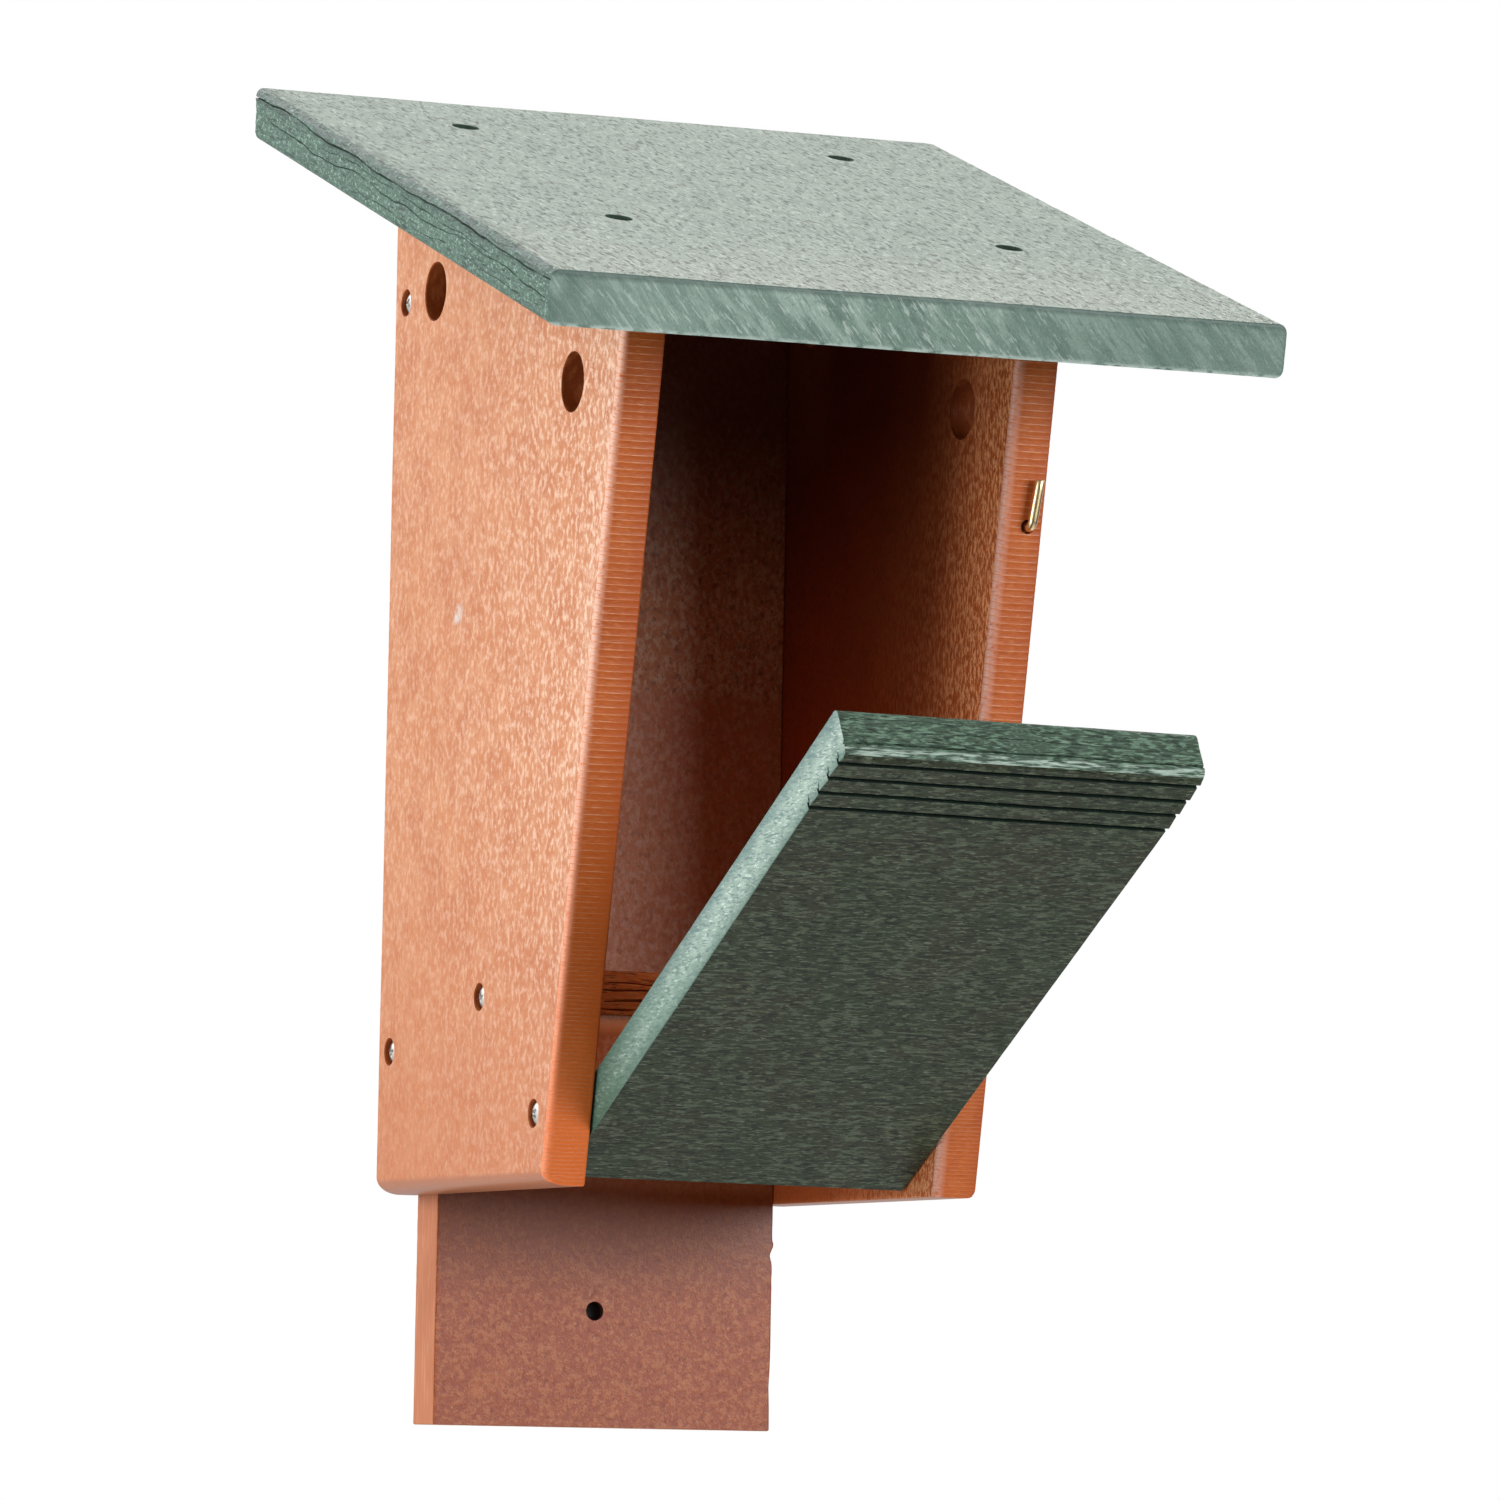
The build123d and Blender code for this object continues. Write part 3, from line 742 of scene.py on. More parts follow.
def crack_shift(cracks, across, along, half):
    """How far lattice lines across an edge move to follow its cracks, none at the edge's own arrises."""
    bases = [-half] + [c.base for c in cracks] + [half]
    shifts = [np.zeros_like(along)] + [c.shift(along) for c in cracks] + [np.zeros_like(along)]
    moved = np.zeros_like(across)
    for (b0, b1), (s0, s1) in zip(zip(bases, bases[1:]), zip(shifts, shifts[1:])):
        inside = (across >= b0) & (across <= b1)
        part = np.clip((across - b0) / (b1 - b0), 0, 1)
        moved = np.where(inside, s0 + (s1 - s0) * part, moved)
    return moved


def groove_depth(cracks, across, along):
    """Depth of all of an edge's grooves together."""
    return sum(crack.groove(across, along) for crack in cracks)


def crack_bands(cracks, across, along):
    """True where a face centre is on the floor of an open groove."""
    inside = np.zeros(len(across), bool)
    for c in cracks:
        inside |= (np.abs(across - c.base) < c.width * 0.51) & (c.strength(along) > 0.3)
    return inside


# ---- side boards ----
def side_cutters(side, materials, seed):
    """What is taken out of a side board: two vents, and the bores of its screws and of the hook."""
    hole = len(materials) - 1
    cutters = []
    lip, far = 0.35, -SIDE_THICK
    profile = [(2.0, 0.3), (0.0, 0.28), (-lip, 0.0), (far + lip, 0.0), (far, 0.28), (far - 2.0, 0.3)]
    profile = [(at, VENT_RADIUS + wider) for at, wider in profile]
    for k, place in enumerate(VENT_PLACES):
        vent = turned(
            f"vent_{k}", side_face(side, *place), (side, 0, 0), profile, 72, materials, hole, 0.006, seed + 20 + k
        )
        cutters.append(vent)
    screw_places = [(BACK_THICK / 2, height) for _, height in BACK_SCREW_HEIGHTS]
    screw_places += [(FLOOR_SCREW_DEPTH, FLOOR_TOP - FLOOR_THICK / 2), (PIVOT_DEPTH, PIVOT_Z)]
    for k, place in enumerate(screw_places):
        cutters.append(recess(f"recess_{k}", side_face(side, *place), (side, 0, 0), materials, hole, seed + 30 + k))
    roof_pilot = SCREW_LENGTH - ROOF_THICK + ROOF_RECESS_DEPTH + 1
    for k, along in enumerate(ROOF_SCREW_SLOPES):
        seat = roof_seat(side, along, ROOF_THICK)
        cutters.append(bore(f"bore_{k}", seat, ROOF_UP, BORE_RADIUS, 2.0, -roof_pilot, materials, hole))
    if side > 0:
        profile = [
            (2.0, HOOK_MOUTH_RADIUS + 0.15), (0.0, HOOK_MOUTH_RADIUS + 0.12), (-0.3, HOOK_MOUTH_RADIUS),
            (-HOOK_MOUTH_DEPTH, HOOK_MOUTH_RADIUS), (-HOOK_MOUTH_DEPTH, HOOK_WIRE + 0.08),
            (-HOOK_SHANK - 1, HOOK_WIRE + 0.08),
        ]
        cutters.append(turned("hook_bore", HOOK_FOOT, LEAN_OUT, profile, 36, materials, hole, ragged=0.04, seed=91))
    return cutters


def side_board(side, name, rib_pitch, seed):
    """Upright board with a milled, ribbed front edge leaning forward; side is -1 or 1."""
    half = SIDE_THICK / 2
    front_round = (FRONT_ROUND, 0.7) if side < 0 else (SMALL_ROUND, FRONT_ROUND)      # outer, inner front arrises
    band, upright, last = 6.0, 14.0, 160.0     # lattice depths: finely ribbed, keeping the lean, and the back edge
    edge_length = SIDE_TOP_FRONT - SIDE_BOTTOM
    bottom_high, bottom_wide = (4.4, 8.0) if side < 0 else (2.8, 3.0)      # rounding of the outer bottom arris
    crests = [0.0]                         # heights of the ridges: the planer's feed was slower low down
    while crests[-1] < edge_length:
        crests.append(crests[-1] + rib_pitch * float(np.interp(crests[-1], (72, 100), (0.58, 1.0))))
    crests = np.array(crests)
    phases = np.array((0.0, 0.07, 0.28, 0.5, 0.72, 0.93))
    rows = np.concatenate([crests[r] + phases * (crests[r + 1] - crests[r]) for r in range(len(crests) - 1)])
    bottom_lines = bottom_high - round_lines(bottom_high, bottom_high, 8)
    heights = merged(rows, bottom_lines, (0.4, 0.8), edge_length - 0.4, edge_length)
    heights = heights[heights >= 0]
    backs = merged(
        FRONT_ROUND - round_lines(FRONT_ROUND, FRONT_ROUND, 5), SMALL_ROUND - round_lines(SMALL_ROUND, SMALL_ROUND, 2),
        (3.6, band, 9.0, upright), spread(22.0, last, 9.0),
    )
    thick = section_lines(
        half, ((BOARD_ROUND, 5), (FRONT_ROUND, 5), (SMALL_ROUND, 2)), spread(-4.2, 4.2, 1.2), apart=0.12
    )
    (z, q, c), faces, sides = lattice((heights, backs, thick), dense=[b <= band for b in backs], step=6)
    # the front arrises: c is the distance from the board's middle, positive on the outer side
    height0, q0, c0 = z, q, c
    radius = np.where(c > 0, front_round[0], front_round[1])
    dq, dc = round_moves(radius - q, np.abs(c) - (half - radius))
    q, c = q + dq, c - np.sign(c) * dc
    # the rounded bottom arrises
    high, wide = np.where(c > 0, bottom_high, SMALL_ROUND), np.where(c > 0, bottom_wide, SMALL_ROUND)
    dz, dc = round_moves(1 - z / high, 1 - (half - np.abs(c)) / wide)
    z, c = z + dz * high, c - np.sign(c) * dc * wide
    up = z / edge_length
    depth_here = SIDE_BOTTOM_DEPTH + RUN * (SIDE_BOTTOM + edge_length * up)
    depth = np.where(q <= upright, depth_here - q, (depth_here - upright) * (last - q) / (last - upright))
    top_here = UNDER_BACK - DROP * SIDE_TOP_DEPTH * np.clip(depth / depth_here, 0, 1)
    height = SIDE_BOTTOM + up * (top_here - SIDE_BOTTOM)
    # milling scallops, deeper in the middle of the edge's height and fading over the arrises
    phase = np.mod(np.interp(height0, crests, np.arange(len(crests))), 1.0)
    strong = np.interp(height0, (0, 28, 62, 235, 262), (0.40, 0.55, 0.8, 1.0, 0.7))
    strong = strong * (1 + 0.35 * noise(seed, height0 / 9.0) + 0.25 * noise(seed + 1, height0 / 2.2, c0 / 9.0))
    scallop = 0.12 * strong * (1 - (2 * phase - 1) ** 2)
    on_front = np.clip(1.5 - q0 / FRONT_ROUND, 0, 1)
    front_push = scallop * on_front + 0.05 * on_front * fbm(seed + 2, (c0 / 3.0, height0 / 40.0))
    # gentle unevenness of the moulded faces, none within the edges
    inside = np.clip((q0 - band) / 12.0, 0, 1) * np.clip(height0 / 10.0, 0, 1)
    wave = 0.10 * inside * fbm(seed + 3, (height / 45.0, depth / 45.0), 2)
    wave -= 0.16 * inside * np.clip(1 - np.abs(q0 - 60) / 70, 0, 1)
    c = c + np.sign(c) * np.where(np.abs(c0) > half - 1e-6, wave * 0.5 - 0.02, 0)
    points = np.zeros((len(z), 3))
    points[:, 0] = side * (SIDE_MID + c)
    points[:, 1] = -depth
    points[:, 2] = height
    points -= front_push[:, None] * LEAN_OUT
    # the sawn back edge is a little rough
    rough = 0.06 * fbm(seed + 4, (height / 4.0, c0 / 2.0))
    points[:, 1] -= np.where(q0 > last - 0.1, np.abs(rough), 0)
    centre_q, centre_z = face_means(faces, q0, height0)
    crest_phase = np.mod(np.interp(centre_z, crests, np.arange(len(crests))), 1.0)
    ridge = (crest_phase < 0.07) | (crest_phase > 0.93)
    slots = np.zeros(len(faces), int)
    slots[sides == 4] = 1
    slots[(sides == 3) | (sides == 1)] = 4
    on_edge = (sides == 2) | ((centre_q < FRONT_ROUND) & (sides >= 4))
    slots[on_edge] = 2
    # the ridges get the crest material, whose pale colour is a painted highlight
    slots[on_edge & ridge & (centre_z > 1)] = 3
    edges = (edge_left, crest_left) if side < 0 else (edge_right, crest_right)
    materials = [orange_skin, orange_inside, *edges, orange_sawn, orange_hole]
    board = new_object(name, points, faces, materials, slots)
    return cut(board, side_cutters(side, materials, seed))


# ---- roof ----
ROOF_CRACKS = {
    -1: [Crack(-3.6, 0.14, 0.25, 1.0, 61, 100, 262), Crack(0.2, 0.22, 0.60, 1.3, 62, 8, 284),
         Crack(3.0, 0.14, 0.35, 1.1, 63, 60, 236), Crack(5.2, 0.32, 1.00, 0.9, 64, -20, 300)],
    1: [Crack(-4.4, 0.16, 0.40, 0.9, 71, 0, 200), Crack(-0.8, 0.18, 0.45, 1.0, 72, 60, 284),
        Crack(2.4, 0.14, 0.30, 0.7, 73, 10, 190), Crack(4.9, 0.22, 0.70, 0.8, 74, 30, 280)],
}


def roof_board():
    """One board falling to the front: factory-rounded, cracked long edges and a sawn front end."""
    half_b, half_c = ROOF_WIDTH / 2, ROOF_THICK / 2
    all_cracks = ROOF_CRACKS[-1] + ROOF_CRACKS[1]
    across = section_lines(half_c, ((BOARD_ROUND, 6),), spread(-4.9, 4.9, 0.6), cracks=all_cracks, apart=0.075)
    rows = merged((0.0, 0.4), spread(1.5, ROOF_LENGTH - 1.0, 1.35), (ROOF_LENGTH - 0.6, ROOF_LENGTH))
    columns = section_lines(
        half_b, ((BOARD_ROUND, 6),), (-half_b + 5, half_b - 5), spread(-half_b + 7, half_b - 7, 0.66), apart=0.1
    )
    dense = np.abs(columns) > half_b - 8
    (a, b, c), faces, sides = lattice((rows, columns, across), dense=dense, step=8)
    a0, b0, c0 = a, b, c
    # c runs from the underside to the top; lattice lines follow the cracks near the long edges
    near_edge = np.clip((np.abs(b) - (half_b - 7)) / 7, 0, 1)
    for side in (-1, 1):
        shift = crack_shift(ROOF_CRACKS[side], c, a, half_c)
        fade = np.clip((half_c - np.abs(c)) / 2.4, 0, 1)
        c = np.where(np.sign(b) == side, c + shift * near_edge * fade, c)
    # rounded long arrises
    db, dc = round_moves(np.abs(b) - (half_b - BOARD_ROUND), np.abs(c) - (half_c - BOARD_ROUND))
    b, c = b - np.sign(b) * db, c - np.sign(c) * dc
    # grooves and rough streaks on the long edges
    edge_weight = np.clip((np.abs(b0) - (half_b - 2.5)) / 2.5, 0, 1)
    push = np.zeros_like(a)
    for side in (-1, 1):
        total = groove_depth(ROOF_CRACKS[side], c0, a0)
        total += 0.07 * fbm(81 + side, (a0 / 7.0, c0 / 0.9)) + 0.12 * fbm(85 + side, (a0 / 30.0, c0 / 3.0), 2)
        push = np.where(np.sign(b0) == side, total, push)
    end_fade = np.clip((ROOF_LENGTH - a0) / 2.0, 0, 1)
    b = b - np.sign(b) * edge_weight * push * (0.4 + 0.6 * end_fade)
    # small tears along the top arrises
    arris = np.clip(1 - np.abs(np.abs(b0) - (half_b - 1.0)) / 3.0, 0, 1) * np.clip((c0 - (half_c - 1.5)) / 1.5, 0, 1)
    c = c - arris * np.clip(0.5 * fbm(93, (a0 / 5.0 + b0 / 3.0, b0 / 1.2)), -0.02, 0.5)
    # faces: slight unevenness
    wave = 0.10 * fbm(95, (a0 / 50.0, b0 / 50.0), 2) - 0.1
    c = np.where(np.abs(c0) > half_c - 1e-6, c + np.sign(c0) * wave * (1 - near_edge), c)
    # sawn front end: its broken arris, diagonal saw marks and a raised burr along its lower edge
    front = a0 > ROOF_LENGTH - 1e-6
    inset = np.clip(0.5 - np.minimum(half_b - np.abs(b0), half_c - np.abs(c0)), 0, 0.5)
    diagonal = b0 * 0.72 + c0 * 0.70
    marks = 0.055 * noise(97, diagonal / 1.9) + 0.05 * noise(98, diagonal / 4.3, (b0 - c0) / 60.0)
    marks += 0.05 * noise(99, b0 / 16.0, c0 / 9.0) + 0.02 * noise(100, b0 / 0.8, c0 / 0.8)
    burr = 0.35 * np.clip(1 - np.abs(c0 + half_c - 0.35) / 0.5, 0, 1) * (0.7 + 0.5 * noise(101, b0 / 5.0))
    a = np.where(front, a + marks - 0.16 - inset * 0.5 + burr - 0.15, a)
    # the back end is cut upright, so that the board meets the wall
    start = DROP * (half_c - c)
    end = ROOF_LENGTH - ROOF_END_SLANT * c / ROOF_THICK
    a = start + (end - start) * a / ROOF_LENGTH
    a = np.where(a0 < 1e-6, a + 0.05 * np.abs(fbm(103, (b0 / 3.0, c0 / 1.0))), a)
    origin = np.array((0.0, 0.0, ROOF_BACK_TOP)) - ROOF_UP * half_c
    points = origin + np.outer(a, ROOF_ALONG) + np.outer(c, ROOF_UP)
    points[:, 0] = ROOF_MID_X + b
    centre_a, centre_b, centre_c = face_means(faces, a0, b0, c0)
    slots = np.zeros(len(faces), int)
    rounded = (sides >= 4) & (np.abs(centre_b) > half_b - 2.2)
    slots[(sides == 2) | (sides == 3) | rounded] = 1
    for side, face_side in ((-1, 2), (1, 3)):
        slots[(sides == face_side) & crack_bands(ROOF_CRACKS[side], centre_c, centre_a)] = 4
    slots[sides < 2] = 2
    materials = [roof_skin, roof_edge, green_sawn, green_recess, green_crack]
    board = new_object("roof_board", points, faces, materials, slots)
    cutters = []
    for side in (-1, 1):
        for k, along in enumerate(ROOF_SCREW_SLOPES):
            name, seat = f"roof_recess_{side}_{k}", roof_seat(side, along, 0)
            cutters.append(recess(name, seat, ROOF_UP, materials, 3, 110 + 2 * k + side, ROOF_RECESS_DEPTH))
    return cut(board, cutters)


# ---- door ----
DOOR_CRACKS = [Crack(-4.3, 0.42, 1.1, 0.5, 121), Crack(-2.4, 0.2, 0.3, 0.7, 122, -40, 58),
               Crack(0.6, 0.22, 0.35, 0.7, 123), Crack(4.2, 0.24, 0.35, 0.6, 124, -58, 30)]


def door_board():
    """Front door: a board with its grain across, rounded cracked top edge, toehold kerfs and sawn sides."""
    half_a, half_c = DOOR_WIDTH / 2, DOOR_THICK / 2
    kerfs = [DOOR_LENGTH - offset for offset in KERF_OFFSETS]      # their middles
    beside = [side * (KERF_WIDTH / 2 + wider) for side in (-1, 1) for wider in (0.02, -0.02, 0.35)]
    kerf_lines = [middle + shift for middle in kerfs for shift in (0.0, *beside)]
    rows = merged((0.0, 0.25, 0.6), spread(3.0, DOOR_LENGTH - 35, 4.0), kerf_lines,
                  DOOR_LENGTH - BOARD_ROUND + round_lines(BOARD_ROUND, BOARD_ROUND, 6), DOOR_LENGTH, apart=0.03)
    thick = section_lines(half_c, ((BOARD_ROUND, 6),), (-half_c + 0.3, half_c - 0.3), spread(-4.9, 4.9, 0.8),
                          cracks=DOOR_CRACKS, apart=0.16)
    columns = merged((-half_a, -half_a + 0.3, half_a - 0.3, half_a), spread(-half_a + 1.2, half_a - 1.2, 1.15))
    # first axis: across the door; second: up it; third: from the outer face inwards
    (a, b, c), faces, sides = lattice((columns, rows, thick))
    a0, b0, c0 = a, b, c
    near_top = np.clip((b - (DOOR_LENGTH - 3)) / 3, 0, 1)
    fade = np.clip((half_c - np.abs(c)) / 1.6, 0, 1)
    c = c + crack_shift(DOOR_CRACKS, c, a, half_c) * near_top * fade
    db, dc = round_moves(b - (DOOR_LENGTH - BOARD_ROUND), np.abs(c) - (half_c - BOARD_ROUND))
    b, c = b - db, c - np.sign(c) * dc
    total = groove_depth(DOOR_CRACKS, c0, a0)
    total += 0.11 * fbm(131, (a0 / 6.0, c0 / 0.7)) + 0.10 * fbm(133, (a0 / 22.0, c0 / 3.0), 2)
    top_weight = np.clip((b0 - (DOOR_LENGTH - 2.0)) / 2.0, 0, 1)
    b = b - top_weight * (total + 0.05)
    # torn line along the outer top arris
    arris = np.clip(1 - np.abs(b0 - (DOOR_LENGTH - 2.4)) / 1.6, 0, 1) * (c0 < -half_c + 1e-6)
    c = c + arris * np.clip(0.4 + 0.45 * fbm(137, (a0 / 9.0, b0 / 1.0)), 0, 0.7) * 0.7
    # kerfs across the outer face: the board is thinner there, and the lines waver a little
    depth = np.zeros_like(a)
    for k, middle in enumerate(kerfs):
        inside = np.abs(b0 - middle) < KERF_WIDTH / 2
        depth = np.where(inside, KERF_DEPTH + 0.12 * noise(141 + k, a0 / 8.0), depth)
        close = np.clip(1 - (np.abs(b0 - middle) - KERF_WIDTH / 2) / 1.5, 0, 1)
        b = b + close * 0.10 * noise(151 + k, a0 / 12.0)
        lip = (np.abs(np.abs(b0 - middle) - KERF_WIDTH / 2) < 0.4) & ~inside & (c0 < -half_c + 1e-6)
        c = np.where(lip, c + 0.06 * noise(161 + k, a0 / 2.0, b0 / 3.0), c)
    c = np.where(depth > 0, -half_c + depth + (c0 + half_c) * (DOOR_THICK - depth) / DOOR_THICK, c)
    # slight unevenness of the faces, and the sawn sides
    wave = 0.09 * fbm(171, (a0 / 40.0, b0 / 40.0), 2) - 0.09
    flat = (np.abs(c0) > half_c - 1e-6) & (depth == 0) & (b0 < DOOR_LENGTH - 4)
    c = np.where(flat, c + np.sign(c0) * wave, c)
    end = np.abs(a0) > half_a - 1e-6
    inset = np.clip(0.3 - np.minimum(b0, half_c - np.abs(c0)), 0, 0.3)
    marks = 0.05 * noise(173, b0 / 1.6, c0 / 14.0) + 0.03 * noise(175, b0 / 0.9, c0 / 1.2)
    a = np.where(end, np.sign(a0) * (np.abs(a0) + marks - 0.06 - 0.7 * inset), a)
    # burrs that the kerf cuts leave at the sides
    for middle in kerfs:
        near = np.clip(1 - np.abs(b0 - middle - KERF_WIDTH / 2 - 0.2) / 0.9, 0, 1)
        near = near * np.clip(1 - (c0 + half_c) / 2.2, 0, 1)
        a = np.where(end, a + np.sign(a0) * 0.55 * near, a)
    bottom = np.clip(0.25 - b0, 0, 0.25) * (np.abs(c0) > half_c - 1e-6)
    c = c - np.sign(c0) * bottom
    # the bottom end is bevelled, and the board is cut a little out of square
    b = b + np.clip(1 - b0 / 30.0, 0, 1) * DOOR_BEVEL * (c + half_c) / DOOR_THICK - DOOR_SKEW * a / DOOR_WIDTH
    points = DOOR_FOOT + np.outer(b, DOOR_UP) - np.outer(c + half_c, DOOR_OUT)
    points[:, 0] = a
    centre_a, centre_b, centre_c = face_means(faces, a0, b0, c0)
    slots = np.zeros(len(faces), int)
    slots[sides < 2] = 1
    from_top = DOOR_LENGTH - centre_b
    slots[(sides == 3) | ((sides == 4) & (from_top < 1.1)) | ((sides == 5) & (from_top < 2.2))] = 2
    slots[(sides == 3) & crack_bands(DOOR_CRACKS, centre_c, centre_a)] = 3
    for middle in kerfs:
        slots[(sides == 4) & (np.abs(centre_b - middle) < KERF_WIDTH / 2 + 0.01)] = 3
    materials = [door_skin, door_sawn, door_edge, green_crack]
    board = new_object("door_board", points, faces, materials, slots)
    to_edge = OUTER_HALF - DOOR_WIDTH / 2
    cutters = [
        pilot(f"pivot_bore_{side}", side, PIVOT_DEPTH, PIVOT_Z, materials, 3, 181 + side, to_edge) for side in (-1, 1)
    ]
    return cut(board, cutters)


# ---- floor board ----
FLOOR_CRACKS = [Crack(-4.8, 0.3, 0.9, 0.5, 201), Crack(-1.9, 0.26, 0.7, 0.7, 202), Crack(0.9, 0.22, 0.5, 0.8, 203),
                Crack(3.6, 0.28, 0.8, 0.7, 204)]


def floor_board():
    """Floor between the side boards, with a rough cracked front edge."""
    half_a, half_c = INNER_WIDTH / 2 - 0.05, FLOOR_THICK / 2
    columns = merged((-half_a, half_a), spread(-half_a, half_a, 1.2))
    depths = merged((0.0, 0.6, 1.6, 3.0), spread(8.0, FLOOR_FRONT - BACK_THICK, 8.0))
    thick = section_lines(half_c, ((FLOOR_ROUND, 3),), spread(-5.8, 5.8, 0.7), cracks=FLOOR_CRACKS, apart=0.17)
    (a, b, c), faces, sides = lattice((columns, depths, thick))
    a0, b0, c0 = a, b, c
    near = np.clip(1 - b / 4, 0, 1) * np.clip((half_c - np.abs(c)) / 1.2, 0, 1)
    c = c + crack_shift(FLOOR_CRACKS, c, a, half_c) * near
    db, dc = round_moves(FLOOR_ROUND - b, np.abs(c) - (half_c - FLOOR_ROUND))
    b, c = b + db, c - np.sign(c) * dc
    total = groove_depth(FLOOR_CRACKS, c0, a0)
    total += 0.16 * fbm(211, (a0 / 6.0, c0 / 0.9)) + 0.16 * fbm(213, (a0 / 25.0, c0 / 4.0), 2)
    b = b + np.clip(1 - b0 / 2.5, 0, 1) * (total + 0.2)
    wave = 0.05 * fbm(215, (a0 / 30.0, b0 / 30.0), 2) - 0.06
    c = np.where(np.abs(c0) > half_c - 1e-6, c + np.sign(c0) * wave, c)
    points = np.stack([a, -(FLOOR_FRONT - b), FLOOR_TOP - half_c + c], axis=1)
    centre_a, centre_c = face_means(faces, a0, c0)
    slots = np.zeros(len(faces), int)
    slots[sides == 2] = 1
    slots[(sides == 2) & crack_bands(FLOOR_CRACKS, centre_c, centre_a)] = 2
    materials = [orange_inside, floor_front_edge, orange_crack, orange_hole]
    board = new_object("floor_plank", points, faces, materials, slots)
    place = (FLOOR_SCREW_DEPTH, FLOOR_TOP - FLOOR_THICK / 2)
    cutters = [pilot(f"floor_bore_{side}", side, *place, materials, 3, 221 + side) for side in (-1, 1)]
    return cut(board, cutters)


# ---- back board ----
def back_plank():
    """Tall board that carries the house, longer at the bottom, with its mounting holes."""
    half_b, half_c = INNER_WIDTH / 2 - 0.05, BACK_THICK / 2
    rows = merged((0.0, 0.3, 0.8), spread(3.0, 997.0, 16.0), (999.0, 1000.0))       # in thousandths of the height
    rows = merged(rows, spread(100.0, 290.0, 2.5), apart=0.2) / 1000
    columns = section_lines(half_b, ((BACK_ROUND, 3),), spread(-half_b + 1.5, half_b - 1.5, 3.2))
    thick = section_lines(half_c, ((BACK_ROUND, 3),), spread(-half_c + 1.5, half_c - 1.5, 1.6))
    (a, b, c), faces, sides = lattice((rows, columns, thick))
    a0, b0, c0 = a, b, c
    db, dc = round_moves(np.abs(b) - (half_b - BACK_ROUND), np.abs(c) - (half_c - BACK_ROUND))
    b, c = b - np.sign(b) * db, c - np.sign(c) * dc
    depth = half_c + c                    # distance in front of the wall
    top = UNDER_BACK - DROP * depth
    height = -BACK_TAIL + a * (top + BACK_TAIL)
    # a nick and a dent in the right-hand edge of the tail, and the bottom arris
    edge = np.clip((b0 - half_b + 1.2) / 1.2, 0, 1)
    edge = edge * np.clip(0.4 + (c0 + half_c) / BACK_THICK, 0, 1)
    for z_at, size, deep in ((-19.0, 1.6, 0.8), (-15.5, 1.1, -0.45), (-62.0, 6.0, 0.35)):
        b = b - edge * deep * np.exp(-(((height - z_at) / size) ** 2))
    side_rough = 0.06 * fbm(231, (height / 3.0, c0 / 6.0)) + 0.05
    b = b - np.sign(b0) * np.where(np.abs(b0) > half_b - 1e-6, side_rough, 0)
    wave = 0.08 * fbm(233, (height / 45.0, b0 / 45.0), 2) - 0.08
    front = c0 > half_c - 1e-6
    c = np.where(front, c + wave, c)
    bottom = np.clip(1 - a0 / 0.0008, 0, 1)
    inset = np.clip(0.6 - np.minimum(half_b - np.abs(b0), half_c - np.abs(c0)), 0, 0.6)
    height = height + bottom * (inset * 0.6 + 0.06 * np.abs(fbm(235, (b0 / 4.0, c0 / 2.0))))
    points = np.stack([b, -(half_c + c), height], axis=1)
    points[:, 1] = np.minimum(points[:, 1], 0)          # nothing behind the wall's face
    slots = np.zeros(len(faces), int)
    slots[sides < 4] = 1
    materials = [back_skin, orange_sawn, orange_hole, hole_dark]
    board = new_object("back_plank", points, faces, materials, slots)
    cutters = []
    for k, z_at in enumerate(HOLE_HEIGHTS):
        origin = np.array((HOLE_X, -BACK_THICK, z_at))
        cutters.append(bore(f"mount_bore_{k}", origin, OUTWARD, HOLE_RADIUS, 1.0, -BACK_THICK - 1.0, materials, 3,
                            lip=0.15, segments=48, seed=241 + k))
    for side in (-1, 1):
        for k, (_, z_at) in enumerate(BACK_SCREW_HEIGHTS):
            name, seed = f"back_bore_{side}_{k}", 251 + 2 * k + side
            cutters.append(pilot(name, side, BACK_THICK / 2, z_at, materials, 2, seed))
    return cut(board, cutters)


